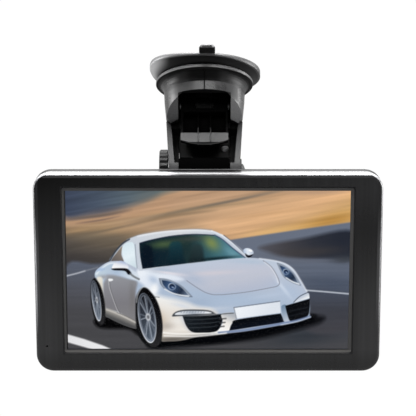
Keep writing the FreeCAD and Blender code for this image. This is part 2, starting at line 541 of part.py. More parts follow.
def arm_body():
    body = fused([barrel_block(), arm_block().cut(arm_recesses())])
    slot = box(-GAP_HALF, GAP_HALF, -30, 15.0, -20, 31)
    low_gap = box(-GAP_HALF, GAP_HALF, 10, 30, -20, 8.0)
    window = box(-WINDOW_HALF, WINDOW_HALF, -30, 10.5, 29, WINDOW_TOP)
    window = filleted(window, 3.2, lambda b: b.ZMin > WINDOW_TOP - 1e-3 and b.XLength < 1e-3)
    well = box(-WINDOW_HALF, WINDOW_HALF, -17.0, 12.0, 29, FLOOR_W)
    seam = box(-0.2, 0.2, -BARREL_TOP_R - 5, -BARREL_TOP_R + 0.5, WINDOW_TOP - 2, BARREL_END)
    bolt_hole = cyl(BOLT_HOLE_R, 60, V(-30, 0, 0), V(1, 0, 0))
    stem_hole = cyl(STEM_HOLE_R, 10, V(0, 0, FLOOR_W - 2), V(0, 0, 1))
    knob_seat = cyl(KNOB_R + 1.0, 10, V(-KNOB_SEAT_X - 10, 0, 0), V(1, 0, 0))
    lug = box(5.0, GAP_HALF + 1, 14.6, 18.0, COVER_SCREW_W - 5, COVER_SCREW_W + 5)
    body = fused([body.cut([slot, low_gap, knob_seat]), lug])
    body = body.cut([window, well, seam, bolt_hole, stem_hole])
    pilots = [cyl(PILOT_R, 4, V(*p, BARREL_END - 3.0), V(0, 0, 1)) for p in flange_screw_places()]
    pilots.append(cyl(PILOT_R, 3.0, V(COVER_SCREW_X, 14.0, COVER_SCREW_W), V(0, 1, 0)))
    boss = cyl(HEAD_BOSS_R, HEAD_BOSS_T + 2.5, V(ARM_HALF_LOW - 2, 0, 0), V(1, 0, 0)).cut(bolt_hole)
    return fused([body.cut(pilots), boss])


def mount_arm():
    """Arm moulded in two halves that meet on the centre plane, clamped by two cross screws."""
    body = arm_body()
    holes = []
    for w in HALF_SCREW_WS:
        holes.append(cyl(PILOT_R, 9.0, V(-9.0, HALF_SCREW_Q, w), V(1, 0, 0)))
        holes.append(cyl(SCREW_R + 0.15, 30.0, V(0, HALF_SCREW_Q, w), V(1, 0, 0)))
        holes.append(cyl(2.2, 30.0, V(6.0, HALF_SCREW_Q, w), V(1, 0, 0)))
    body = body.cut(holes)
    save("arm_left_half", from_mount(body.common(box(-40, -0.02, -50, 50, -50, 80))))
    save("arm_right_half", from_mount(body.common(box(0.02, 40, -50, 50, -50, 80))))
    screws = []
    for w in HALF_SCREW_WS:
        head = cyl(2.0, 1.4, V(6.0, HALF_SCREW_Q, w), V(1, 0, 0))
        shank = cyl(SCREW_R, 14.0, V(-7.9, HALF_SCREW_Q, w), V(1, 0, 0))
        slot = box(6.8, 8, HALF_SCREW_Q - 1.2, HALF_SCREW_Q + 1.2, w - 0.25, w + 0.25)
        screws.append(from_mount(fused([head, shank]).cut(slot)))
    save("half_screws", *screws)


def arm_cover():
    """Plate that closes the back of the gap between the arms, held by one screw into a lug."""
    plate = slab(12.6, 14.5, -GAP_HALF + 0.1, GAP_HALF - 0.1, 9.2, 27.5, 2)
    rib = box(-10, 8.6, 11.6, 12.8, 20.2, 21.2)
    hole = cyl(SCREW_R + 0.15, 8, V(COVER_SCREW_X, 10, COVER_SCREW_W), V(0, 1, 0))
    save("arm_cover", from_mount(fused([plate, rib]).cut(hole)))
    head = Part.makeSphere(2.2, V(COVER_SCREW_X, 13.1, COVER_SCREW_W))
    head = head.common(box(COVER_SCREW_X - 3, COVER_SCREW_X + 3, 10.5, 12.55, 10, 20))
    shank = cyl(SCREW_R, 4.1, V(COVER_SCREW_X, 12.5, COVER_SCREW_W), V(0, 1, 0))
    slot = box(COVER_SCREW_X - 1.1, COVER_SCREW_X + 1.1, 10, 11.5,
               COVER_SCREW_W - 0.25, COVER_SCREW_W + 0.25)
    save("arm_cover_screw", from_mount(fused([head, shank]).cut(slot)))


# ---------------------------------------------------------------- suction base
def flange_screw_places():
    return [(FLANGE_SCREW_R * math.cos(math.radians(a)), FLANGE_SCREW_R * math.sin(math.radians(a)))
            for a in (45, 135, 225, 315)]


def base_flange():
    ring = turned([(FLANGE_HOLE_R, BARREL_END), (FLANGE_R - 0.4, BARREL_END), (FLANGE_R, BARREL_END + 0.4),
                   (FLANGE_R, BARREL_END + FLANGE_T - 0.7), (FLANGE_R - 0.7, BARREL_END + FLANGE_T),
                   (FLANGE_HOLE_R, BARREL_END + FLANGE_T)])
    cuts, screws = [], []
    top = BARREL_END + FLANGE_T
    for x, y in flange_screw_places():
        cuts.append(cyl(SCREW_R + 0.2, 10, V(x, y, BARREL_END - 1), V(0, 0, 1)))
        cuts.append(cyl(2.2, 3, V(x, y, top - 1.3), V(0, 0, 1)))
        head = cyl(2.0, 1.1, V(x, y, top - 1.25), V(0, 0, 1))
        shank = cyl(SCREW_R, 3.6, V(x, y, top - 4.8), V(0, 0, 1))
        slot = box(x - 1.2, x + 1.2, y - 0.25, y + 0.25, top - 0.6, top)
        screws.append(from_mount(fused([head, shank]).cut(slot)))
    save("base_flange", from_mount(ring.cut(cuts)))
    save("flange_screws", *screws)


def suction_cup():
    pocket_floor, pocket_roof = FOOT_W - 0.06, FOOT_W + FOOT_T + PULL + 0.1
    boss_r = FLANGE_HOLE_R - 0.4
    outline = [(STEM_HOLE_R + 0.2, pocket_floor - 0.9), (boss_r, pocket_floor - 0.9), (boss_r, 54.8),
               (26.0, 54.9), (CUP_R - 0.6, 58.3), (CUP_R, 59.0), (CUP_R, CUP_FACE_W - 0.3),
               (CUP_R - 0.4, CUP_FACE_W),
               (CUP_R - 3.5, CUP_FACE_W), (24.0, 59.4), (14.0, 59.0), (0, 58.9), (0, pocket_roof),
               (FOOT_R + 0.2, pocket_roof), (FOOT_R + 0.2, pocket_floor), (STEM_HOLE_R + 0.2, pocket_floor)]
    cup = turned(outline)
    top = CUP_FACE_W - 0.2
    tab = slab(0, TAB_T, -TAB_W / 2, TAB_W / 2, 28.0, TAB_REACH, 2.6)
    tab.rotate(V(), V(1, 0, 0), 90)
    tab.translate(V(0, 0, top - TAB_T))
    bead = cyl(1.3, TAB_W - 2.6, V(-TAB_W / 2 + 1.3, -TAB_REACH + 1.3, top - 1.3), V(1, 0, 0))
    save("suction_cup", from_mount(fused([cup, tab, bead])))


def plunger():
    eye = cyl(4.5, 9.2, V(-4.6, 0, PIN_W), V(1, 0, 0))
    neck = box(-4.6, 4.6, -3.0, 3.0, PIN_W, PIN_W + 5.5)
    stem = cyl(STEM_R, FOOT_W - PIN_W - 4.5, V(0, 0, PIN_W + 4.5), V(0, 0, 1))
    foot = cyl(FOOT_R, FOOT_T, V(0, 0, FOOT_W), V(0, 0, 1))
    pin_hole = cyl(PIN_HOLE_R, 40, V(-20, 0, PIN_W), V(1, 0, 0))
    save("plunger", from_mount(fused([eye, neck, stem, foot]).cut(pin_hole)))
    pin = cyl(PIN_R, 27.6, V(-13.8, 0, PIN_W), V(1, 0, 0))
    save("lever_pin", from_mount(pin))
    clips = []
    for side in (-1, 1):
        x = 13.4 if side > 0 else -13.9
        disc = cyl(2.4, 0.5, V(x, 0, PIN_W), V(1, 0, 0))
        clips.append(from_mount(disc.cut(cyl(PIN_R + 0.02, 3, V(x - 1, 0, PIN_W), V(1, 0, 0)))))
    save("pin_clips", *clips)


def cam_face():
    """Side view of a cam whose lift falls evenly as the lever opens."""
    turn = math.radians(LEVER_STROKE)
    slope = PULL / turn
    points = []
    for i in range(9):
        b = turn * i / 8
        lift = CAM_R - PULL * i / 8
        forward = -lift * math.sin(b) + slope * math.cos(b)
        upward = lift * math.cos(b) + slope * math.sin(b)
        points.append(V(0, forward, PIN_W + upward))
    curve = Part.BSplineCurve()
    curve.interpolate(points)
    back = [V(0, 5.6, PIN_W + 4.6), V(0, 6.4, PIN_W - 4.0), V(0, -4.2, PIN_W - 5.2),
            V(0, -4.6, PIN_W - 1.0)]
    edges = [curve.toShape()]
    run = [points[0]] + back + [points[-1]]
    edges += [Part.makeLine(p, q) for p, q in zip(run, run[1:])]
    return Part.Face(Part.Wire(Part.__sortEdges__(edges)))


def lock_lever():
    """Cam lever: a shallow tray open to the front, its lower end swept forward into a finger lip."""
    pieces = []
    for x0, x1 in ((-LEVER_HALF, -5.0), (5.0, LEVER_HALF)):
        cam = cam_face().extrude(V(x1 - x0, 0, 0))
        cam.translate(V(x0, 0, 0))
        pieces.append(cam)
    wall = [(-4.2, PIN_W - 4.6), (-3.4, 31.0), (-6.4, 20.6), (-7.2, 16.0), (1.6, 22.0), (3.2, 27.0),
            (5.4, PIN_W - 4.5)]
    rib = [(-0.6, PIN_W - 6.0), (-2.0, 31.0), (-6.6, 22.6), (-8.9, 19.6), (-9.1, 15.8), (-6.2, 15.0),
           (1.6, 22.0), (3.2, 27.0), (3.8, PIN_W - 5.0)]
    for x in (-LEVER_HALF, LEVER_HALF - 1.3):
        pieces.append(prism_x(wall, x, x + 1.3))
    for x in (-RIB_X - 0.35, RIB_X - 0.35):
        pieces.append(prism_x(rib, x, x + 0.7))
    skin = [(6.4, PIN_W - 4.0), (4.6, 26.8), (2.6, 21.6), (-6.2, 14.2), (-8.0, 14.2), (-8.6, 15.2),
            (-7.9, 20.9), (-6.7, 20.9), (-6.9, 16.6), (1.0, 23.2), (2.7, 27.4), (3.4, PIN_W - 5.2),
            (-4.2, PIN_W - 5.2),
            (-4.2, PIN_W - 3.9), (4.0, PIN_W - 3.9)]
    pieces.append(prism_x(skin, -LEVER_HALF, LEVER_HALF))
    body = fused(pieces)
    end_round = cyl(40.0, 60, V(0, -30, 14.3 + 40.0), V(0, 1, 0)).fuse(box(-30, 30, -30, 30, 30, 70))
    eye_gap = cyl(5.0, 10.0, V(-5.0, 0, PIN_W), V(1, 0, 0))
    eye_gap = eye_gap.fuse(box(-5.0, 5.0, -12, 5.0, PIN_W - 3.8, PIN_W + 20))
    pin_hole = cyl(PIN_HOLE_R, 40, V(-20, 0, PIN_W), V(1, 0, 0))
    save("lock_lever", from_mount(body.common(end_round).cut([eye_gap, pin_hole])))


# ---------------------------------------------------------------- tilt bolt and knob
def knob_wire(x):
    points = []
    steps = KNOB_LOBES * 6
    for i in range(steps):
        a = 2 * math.pi * i / steps
        r = KNOB_R + KNOB_LOBE_H * math.cos(KNOB_LOBES * a)
        points.append(V(x, r * math.cos(a), r * math.sin(a)))
    curve = Part.BSplineCurve()
    curve.interpolate(points, True)
    return Part.Wire([curve.toShape()])


def thumb_knob():
    x_in = -KNOB_SEAT_X - KNOB_GAP
    x_out = x_in - KNOB_T
    grip = Part.Face(knob_wire(x_out)).extrude(V(KNOB_T, 0, 0))
    soft = Part.makePolygon([V(x_out, 0, 0), V(x_out, KNOB_R - 0.4, 0), V(x_out + 0.9, KNOB_R + 0.7, 0),
                             V(x_in - 0.5, KNOB_R + 0.7, 0), V(x_in, KNOB_R, 0), V(x_in, 0, 0),
                             V(x_out, 0, 0)])
    grip = grip.common(Part.Face(soft).revolve(V(), V(1, 0, 0), 360))
    dish = cyl(8.6, 1.0, V(x_out - 0.01, 0, 0), V(1, 0, 0)).cut(cyl(5.4, 3, V(x_out - 1, 0, 0), V(1, 0, 0)))
    insert_seat = cyl(4.5, 3.6, V(x_in - 3.6, 0, 0), V(1, 0, 0))
    save("thumb_knob", from_mount(grip.cut([dish, insert_seat])))
    insert = cyl(4.45, 3.5, V(x_in - 3.55, 0, 0), V(1, 0, 0))
    insert = insert.cut(cyl(BOLT_HOLE_R, 8, V(x_in - 5, 0, 0), V(1, 0, 0)))
    save("knob_insert", from_mount(insert))


def tilt_bolt():
    x_left = -KNOB_SEAT_X - KNOB_GAP - 3.4
    x_head = ARM_HALF_LOW + 0.55 + HEAD_BOSS_T + 0.05
    shank = cyl(BOLT_R, x_head - x_left, V(x_left, 0, 0), V(1, 0, 0))
    head = cyl(HEAD_DOME_R, 0.6, V(x_head, 0, 0), V(1, 0, 0))
    dome = Part.makeSphere(9.0, V(x_head - 6.9, 0, 0))
    dome = dome.common(cyl(HEAD_DOME_R, 8, V(x_head + 0.5, 0, 0), V(1, 0, 0)))
    slot = cyl(1.6, 3, V(x_head + 0.7, 0, 0), V(1, 0, 0))
    save("tilt_bolt", from_mount(fused([shank, head, dome]).cut(slot)))


def main():
    front_bezel()
    rear_cover()
    cover_screws()
    screen_stack()
    main_board()
    board_parts()
    sockets()
    memory_card()
    power_button()
    sound_parts()
    battery_and_antenna()
    display_bracket()
    friction_washers()
    mount_arm()
    arm_cover()
    base_flange()
    suction_cup()
    plunger()
    lock_lever()
    thumb_knob()
    tilt_bolt()
    os.makedirs("parts", exist_ok=True)
    for old in os.listdir("parts"):
        os.remove(os.path.join("parts", old))
    for name, shape in sorted(PARTS.items()):
        shape.exportStep(os.path.join("parts", name + ".step"))
        print(name, "solids", len(shape.Solids), "valid", shape.isValid(), "volume", round(shape.Volume, 1))


main()
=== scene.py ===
"""Looks for a portable GPS navigator on a windscreen suction mount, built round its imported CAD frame."""

import json
import math

import bpy
import numpy as np
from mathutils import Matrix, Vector


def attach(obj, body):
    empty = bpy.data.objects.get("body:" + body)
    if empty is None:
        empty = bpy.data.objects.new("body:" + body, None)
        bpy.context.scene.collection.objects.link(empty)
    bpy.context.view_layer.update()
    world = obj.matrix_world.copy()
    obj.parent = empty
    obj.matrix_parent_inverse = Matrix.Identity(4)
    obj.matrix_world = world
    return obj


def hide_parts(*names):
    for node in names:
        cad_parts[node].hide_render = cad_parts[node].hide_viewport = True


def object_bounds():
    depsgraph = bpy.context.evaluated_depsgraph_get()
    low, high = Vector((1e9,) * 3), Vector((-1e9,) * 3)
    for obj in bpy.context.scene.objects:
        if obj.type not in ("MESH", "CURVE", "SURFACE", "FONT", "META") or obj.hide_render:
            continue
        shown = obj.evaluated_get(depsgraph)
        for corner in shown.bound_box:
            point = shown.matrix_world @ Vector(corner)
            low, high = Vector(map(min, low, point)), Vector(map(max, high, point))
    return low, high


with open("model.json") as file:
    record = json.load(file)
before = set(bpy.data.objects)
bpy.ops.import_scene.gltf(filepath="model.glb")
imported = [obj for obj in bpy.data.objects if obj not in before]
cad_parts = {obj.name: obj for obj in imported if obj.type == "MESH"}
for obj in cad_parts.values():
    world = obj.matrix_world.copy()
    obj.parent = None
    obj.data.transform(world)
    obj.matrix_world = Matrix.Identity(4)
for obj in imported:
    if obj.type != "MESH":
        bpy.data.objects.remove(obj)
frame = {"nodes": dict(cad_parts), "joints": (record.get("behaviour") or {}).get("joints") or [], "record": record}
CAD_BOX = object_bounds()
RECORD = frame["record"]
NODES = frame["nodes"]
MM = 0.001

# The lit picture, in millimetres: its middle, half width, half height and depth behind the touch panel's
# front, and half the width that the panel's printed border leaves open
PICTURE_X, PICTURE_W, PICTURE_H, PICTURE_Y = -0.28, 77.55, 44.5, 1.85
BORDER_W = 77

# Half size of the touch panel's opening in the bezel, and where the seam behind the bezel starts
OPENING_X, OPENING_Z, SEAM_Y = 79.35, 46.95, 5.4

# The mount's own axes: x across, q back, w towards the glass, from the tilt bolt
LEAN = math.radians(30)
TILT = next(j for j in frame["joints"] if j["name"] == "bracket_tilt")["pos_m"]

# Across the mount: the pull tab's middle, and each of the lever's two ribs
TAB_SHIFT, RIB_X = 1.5, 3.45

# Half the gap between the arms, and the radii between which the cup's rubber is free to flex
GAP_X, FREE_START, FREE_END = 14.55, 20, 31

# Brightness of the surroundings, as seen by everything but the camera
FLOOR_BOUNCE, WORLD_BACK, WORLD_LOW_FRONT = 0.5, 2.4, 0.75

# The floor, in metres: how far below the object, its ends, its half width and its curve's radius
FLOOR_DROP, FLOOR_FRONT, FLOOR_BACK, FLOOR_SIDE, FLOOR_CURVE = 0.11, -0.02, 1.5, 2.2, 0.5

# The camera: how steeply it looks down, its distance in metres, its focal length and the point it aims at
CAMERA_RISE, CAMERA_DISTANCE, CAMERA_LENS = math.radians(12.5), 0.850, 136.8
CAMERA_AIM = Vector((0, 0, 0.0351))


# ---------------------------------------------------------------- node helpers
class Graph:
    """Small wrapper for building the node tree of a material, or of the world."""

    def __init__(self, name, kind="Material"):
        library = bpy.data.materials if kind == "Material" else bpy.data.worlds
        self.owner = library.new(name)
        self.owner.use_nodes = True
        self.tree = self.owner.node_tree
        self.tree.nodes.clear()
        self.out = self.add("Output" + kind)
        self.tex_coord = self.add("TexCoord")
        self.coords = self.tex_coord.outputs["Object"]

    def add(self, kind, **settings):
        node = self.tree.nodes.new("ShaderNode" + kind)
        for key, value in settings.items():
            setattr(node, key, value)
        return node

    def link(self, source, target):
        self.tree.links.new(source, target)
        return target

    def feed(self, socket, value):
        """Links a socket, or sets its value when given a plain number or colour."""
        if isinstance(value, bpy.types.NodeSocket):
            self.link(value, socket)
        elif value is not None:
            socket.default_value = value
        return socket

    def plug(self, node, **values):
        """Feeds a node's inputs by name, with an underscore for each space."""
        for name, value in values.items():
            self.feed(node.inputs[name.replace("_", " ")], value)
        return node.outputs[0]

    def math(self, operation, a, b=None):
        node = self.add("Math", operation=operation)
        self.feed(node.inputs[0], a)
        self.feed(node.inputs[1], b)
        return node.outputs[0]

    def plus(self, a, b):
        return self.math("ADD", a, b)

    def less(self, a, b):
        return self.math("SUBTRACT", a, b)

    def most(self, a, b):
        return self.math("MAXIMUM", a, b)

    def size(self, a):
        return self.math("ABSOLUTE", a)

    def flip(self, mask):
        return self.math("SUBTRACT", 1, mask)

    def split(self, vector):
        node = self.add("SeparateXYZ")
        self.link(vector, node.inputs[0])
        return node.outputs

    def noise(self, scale, detail, rough, stretch=(1, 1, 1)):
        place = self.plug(self.add("Mapping"), Vector=self.coords, Scale=stretch)
        return self.plug(self.add("TexNoise"), Vector=place, Scale=scale, Detail=detail, Roughness=rough)

    def mount_axes(self):
        """Place in the mount's own axes, in millimetres: across, back, and up towards the glass."""
        x, y, z = self.split(self.coords)
        x, y, z = (self.times(self.less(v, c), 1000) for v, c in zip((x, y, z), TILT))
        c, s = math.cos(LEAN), math.sin(LEAN)
        q = self.less(self.times(y, c), self.times(z, s))
        w = self.plus(self.times(y, s), self.times(z, c))
        return x, q, w

    def step(self, value, low, high):
        """Soft step from 0 to 1 as the value passes from low to high."""
        return self.span(value, 0, 1, low, high, smooth=True)

    def fall(self, value, low, high):
        """Soft step from 1 to 0 as the value passes from low to high."""
        return self.flip(self.step(value, low, high))

    def times(self, first, *others):
        for other in others:
            first = self.math("MULTIPLY", first, other)
        return first

    def span(self, value, low, high, from_low=0.3, from_high=0.7, smooth=False):
        """Maps a value onto a new range, clamped."""
        node = self.add("MapRange", clamp=True)
        if smooth:
            node.interpolation_type = "SMOOTHSTEP"
        for socket, number in zip(list(node.inputs)[:5], (value, from_low, from_high, low, high)):
            self.feed(socket, number)
        return node.outputs[0]

    def mix(self, factor, a, b):
        node = self.add("Mix", data_type="RGBA")
        for socket, value in ((0, factor), (6, a), (7, b)):
            self.feed(node.inputs[socket], value)
        return node.outputs[2]

    def blend(self, factor, first, second):
        """Mixes two shaders."""
        node = self.add("MixShader")
        for socket, value in zip(node.inputs, (factor, first, second)):
            self.link(value, socket)
        return node.outputs[0]

    def bump(self, height, strength, distance):
        return self.plug(self.add("Bump"), Height=height, Strength=strength, Distance=distance)

    def shader(self, colour, rough, metallic=0, normal=None, **more):
        node = self.add("BsdfPrincipled")
        return self.plug(node, Base_Color=colour, Roughness=rough, Metallic=metallic, Normal=normal, **more)

    def glow(self, colour, strength):
        return self.plug(self.add("Emission"), Color=colour, Strength=strength)

    def finish(self, surface):
        self.link(surface, self.out.inputs["Surface"])
        return self.owner


def rgba(colour, gain=1):
    return tuple(min(1, c * gain) for c in colour[:3]) + (1,)


# ---------------------------------------------------------------- materials by class
# class: roughness, metallic, colour spread, grain per metre, grain height in metres, stretch of the grain
CLASS_LOOKS = {
    "gloss_plastic": (0.24, 0, 0.10, 900, 0.000010, (1, 1, 1)),
    "matte_plastic": (0.52, 0, 0.16, 2600, 0.000045, (1, 1, 1)),
    "painted_metal": (0.40, 0.35, 0.12, 1800, 0.000020, (1, 1, 1)),
    "brushed_steel": (0.34, 1, 0.10, 500, 0.000015, (1, 14, 1)),
    "aluminium": (0.36, 1, 0.10, 700, 0.000012, (10, 1, 1)),
    "chrome": (0.10, 1, 0.05, 600, 0.000006, (1, 1, 1)),
    "cast_iron": (0.60, 0.8, 0.20, 2200, 0.000050, (1, 1, 1)),
    "brass": (0.30, 1, 0.12, 900, 0.000012, (1, 1, 1)),
    "rubber": (0.62, 0, 0.18, 3200, 0.000040, (1, 1, 1)),
    "fabric": (0.92, 0, 0.25, 2400, 0.000120, (1, 1, 1)),
    "glass": (0.08, 0, 0.04, 400, 0.000003, (1, 1, 1)),
    "ceramic": (0.35, 0, 0.14, 1500, 0.000020, (1, 1, 1)),
    "paper": (0.85, 0, 0.18, 1600, 0.000080, (1, 3, 1)),
}


def class_material(slot):
    """Procedural finish for one of the record's slots: mottled colour, uneven gloss and a fine grain."""
    rough, metallic, spread, grain, height, stretch = CLASS_LOOKS[slot["class"]]
    g = Graph(slot["slot"])
    cloud = g.noise(45, 4, 0.6)
    fine = g.noise(grain, 2, 0.6, stretch)
    mottle = g.span(g.plus(g.times(cloud, 0.6), g.times(fine, 0.4)), 0, 1)
    colour = g.mix(mottle, rgba(slot["base_color"], 1 - spread), rgba(slot["base_color"], 1 + spread))
    gloss = g.span(cloud, rough * 0.85, rough * 1.2)
    return g.finish(g.shader(colour, gloss, metallic, g.bump(fine, 0.6, height)))


def bezel_material():
    """Smooth black moulding with faint upright drag lines, a painted reflection that lightens it low down, painted
    highlights on the front top edge and side edges, a dark inner lip and a painted shadow in the seam.
    """
    g = Graph("case_black")
    x, y, z = (g.times(v, 1000) for v in g.split(g.coords))
    streaks = g.noise(420, 3, 0.55, (1, 0.2, 0.012))
    cloud = g.noise(30, 3, 0.5)
    # Painted reflection: lighter low down, a little lighter to the right near the top and at both ends, and darker
    # right at the bottom edge.
    low = g.span(z, 0.0215, 0.0015, -16, 54)
    sideways = g.times(g.span(x, -0.003, 0.018, -90, 90), g.step(z, 20, 50))
    low = g.most(g.plus(low, sideways), 0)
    ends = g.times(g.step(g.size(x), 80, 86), g.span(z, 0.009, 0, -30, 12))
    low = g.plus(low, ends)
    low = g.times(low, g.flip(g.span(z, 0.42, 0, -52, -44)))
    level = g.times(low, g.span(streaks, 0.85, 1.15))
    # Painted highlights along the front top edge and its brow, dimmed in the middle as a painted reflection of the
    # mount, with a fainter painted sheen on the front roll and a band along the top.
    middle = g.flip(g.times(g.fall(g.size(x), 14, 26), 0.8))
    edge = g.times(g.step(y, -0.62, -0.45), g.fall(y, 1.2, 2.6), g.step(z, -40, 0))
    level = g.most(level, g.times(edge, g.span(z, 0.045, 0.30, 49, 53), middle))
    brow = g.times(g.step(z, 53.15, 53.25), g.fall(y, -0.6, -0.5), middle)
    level = g.most(level, g.times(brow, 0.6))
    roll = g.times(g.step(y, -0.79, -0.76), g.fall(y, -0.62, -0.5))
    level = g.most(level, g.times(roll, 0.016))
    top_band = g.times(g.fall(y, -0.79, -0.76), g.step(z, 51.5, 52))
    level = g.most(level, g.times(top_band, 0.042))
    # Painted highlights on the side fillets, brightest at mid height, and a painted glint along each side edge,
    # stronger on the left.
    off_middle = g.size(g.plus(z, 2))
    side = g.times(g.step(g.size(x), 91.2, 91.7), g.fall(y, 2, 3))
    side = g.times(side, g.span(off_middle, 1, 0.3, 12, 40))
    level = g.most(level, g.times(side, 0.055))
    rim = g.times(g.step(g.size(x), 92.7, 92.9), g.fall(g.size(x), 93.5, 93.7))
    glint = g.times(rim, g.fall(y, 0.4, 1.2), g.span(off_middle, 1, 0, 16, 36))
    level = g.most(level, g.times(glint, g.span(x, 0.30, 0.13, -90, 90)))
    # The opening's inner lip gets a plain dark, dull colour, and the seam behind the bezel is painted black as its
    # shadow.
    over_x = g.less(g.size(x), OPENING_X)
    over_z = g.less(g.size(z), OPENING_Z)
    lip = g.math("LESS_THAN", g.most(over_x, over_z), 0)
    seam = g.step(y, SEAM_Y, SEAM_Y + 0.4)
    quiet = g.flip(g.most(lip, seam))
    level = g.plus(g.times(level, quiet), g.times(lip, 0.018))
    colour = g.add("CombineColor")
    for socket, tint in zip(colour.inputs, (1, 1, 1.04)):
        g.feed(socket, g.times(level, tint))
    gloss = g.plus(g.span(streaks, 0.15, 0.20), g.span(cloud, -0.015, 0.015))
    gloss = g.most(gloss, g.times(g.flip(quiet), 0.5))
    shine = g.plus(0.03, g.times(quiet, 0.47))
    normal = g.bump(streaks, 0.25, 0.000012)
    return g.finish(g.shader(colour.outputs[0], gloss, 0, normal, Specular_IOR_Level=shine))


def cover_material():
    """Fine spark-textured black moulding."""
    g = Graph("cover_black")
    grain = g.noise(3800, 2, 0.7)
    cloud = g.noise(40, 3, 0.5)
    colour = g.mix(g.span(cloud, 0, 1), (0.018, 0.018, 0.0185, 1), (0.028, 0.028, 0.029, 1))
    return g.finish(g.shader(colour, g.span(cloud, 0.42, 0.52), 0, g.bump(grain, 0.7, 0.00005)))


def arm_material(name, low, high, rough, shine=0.5, shade=None, dark=0.01, lit_slant=None, dull=None):
    """Satin moulding of the mount, with painted shade in unlit hollows, painted light on the rough slants and dull
    worn rims.
    """
    g = Graph(name)
    cloud = g.noise(90, 4, 0.6)
    grain = g.noise(4200, 2, 0.6)
    colour = g.mix(g.span(cloud, 0, 1), (low, low, low * 1.02, 1), (high, high, high * 1.02, 1))
    gloss = g.plus(g.span(cloud, rough - 0.04, rough + 0.05), g.span(grain, -0.02, 0.02))
    normal = g.bump(grain, 0.35, 0.00002)
    # Painted light on the barrel's slanted cheeks: a lit grey with random spots, lighter on the right than on the
    # left.
    if lit_slant is not None:
        mask, side = lit_slant(g)
        spots = g.span(g.noise(1900, 2, 0.7), 0, 1)
        near = g.mix(spots, (0.095, 0.095, 0.097, 1), (0.155, 0.155, 0.158, 1))
        far = g.mix(spots, (0.21, 0.21, 0.213, 1), (0.33, 0.33, 0.335, 1))
        colour = g.mix(mask, colour, g.mix(side, near, far))
        gloss = g.most(gloss, g.times(mask, 0.6))
    if dull is not None:
        mask = dull(g)
        gloss = g.most(gloss, g.times(mask, 0.42))
        shine = g.times(g.flip(g.times(mask, 0.86)), shine)
    # Painted shade: the masked hollows take the dark colour and lose their shine.
    if shade is not None:
        mask = shade(g)
        colour = g.mix(mask, colour, (dark, dark, dark * 1.02, 1))
        gloss = g.most(gloss, g.times(mask, 0.55))
        shine = g.times(g.flip(mask), shine)
    return g.finish(g.shader(colour, gloss, 0, normal, Specular_IOR_Level=shine))


def facing(g, direction):
    """Cosine between the surface's own normal and a direction in the mount's side plane."""
    q, w = direction
    c, s = math.cos(LEAN), math.sin(LEAN)
    dot = g.add("VectorMath", operation="DOT_PRODUCT")
    g.link(g.tex_coord.outputs["Normal"], dot.inputs[0])
    dot.inputs[1].default_value = (0, q * c + w * s, w * c - q * s)
    return dot.outputs["Value"]


def barrel_radius(g, x, q):
    return g.math("SQRT", g.plus(g.times(x, x), g.times(q, q)))


def arm_hollows(g):
    """Where painted shade falls on the arm: its pockets, window, gap and lever well and the underside of its
    flare, with a dark seam line between its halves.
    """
    x, q, w = g.mount_axes()
    across = g.size(x)
    half = g.span(w, 18.8, 21.5, -12, 31)
    face = g.span(w, -8.9, 1.8, 4, 30.5)
    inboard = g.step(g.less(half, across), 0.25, 0.6)
    sunk = g.step(g.less(q, face), 0.4, 1.6)
    low = g.times(inboard, sunk, g.fall(w, 33, 34), g.step(w, 2.4, 3.2))
    between = g.fall(across, GAP_X, GAP_X + 0.25)
    window = g.times(between, g.fall(w, 41, 41.2), g.step(w, 6, 8))
    radius = barrel_radius(g, x, q)
    well = g.times(g.fall(radius, 20.6, 21.2), between, g.step(w, 8, 10))
    flare = g.times(g.step(w, 46, 46.3), g.fall(w, 51.6, 51.9), g.fall(across, 6, 21),
                    g.fall(q, -4, 2))
    under = g.times(g.step(facing(g, (0, -1)), 0.6, 0.9), g.step(w, 50, 50.6))
    split = g.times(g.fall(across, 0.25, 0.45), g.step(w, 40.4, 40.8), g.fall(w, 47, 47.6))
    shade = low
    for other in (window, well, split):
        shade = g.most(shade, other)
    shade = g.times(shade, g.fall(q, 11, 12.6))
    for other in (flare, g.times(under, 0.8)):
        shade = g.most(shade, other)
    return shade


def arm_slants(g):
    """Slanted lower faces of the barrel's two cheeks, which get a painted light, and which side they are on."""
    x, _, w = g.mount_axes()
    mask = g.times(g.step(facing(g, (-0.482, -0.876)), 0.965, 0.99), g.fall(w, 44, 45))
    return mask, g.step(x, -5, 5)


def arm_rims(g):
    """Front rims and feet of the arms, and in part the sides of the flare."""
    x, _, w = g.mount_axes()
    flare = g.times(g.step(w, 43, 46), g.step(g.size(x), 9, 14), g.step(x, -22, -19))
    flare = g.most(flare, g.times(g.step(w, 34, 39), g.step(x, 9, 14), g.fall(x, 18, 20.5)))
    rims = g.fall(w, 30.2, 31.4)
    return g.most(rims, g.times(flare, g.span(x, 0.78, 0.94, -5, 5)))


def flange_under(g):
    """Painted shade on the underside of the flange, fading out on the edge right above it."""
    _, _, w = g.mount_axes()
    return g.times(g.fall(w, 52.1, 52.4), 0.9)


def lever_hollows(g):
    """Painted shade over the lever behind and above its finger lip, but for the lit ends of its two ribs."""
    x, q, w = g.mount_axes()
    off_rib = g.size(g.less(g.size(x), RIB_X))
    ribs = g.times(g.fall(off_rib, 0.4, 0.7), g.fall(w, 23, 27), g.fall(q, -5.6, -5))
    hidden = g.most(g.step(w, 20.6, 21.4), g.step(q, -6.9, -6.4))
    return g.times(hidden, g.flip(g.times(ribs, 0.8)))


def gap_front(g):
    """Painted shade on the front of the knuckle and washers, deep between the arms."""
    _, q, _ = g.mount_axes()
    return g.fall(q, 3, 6)


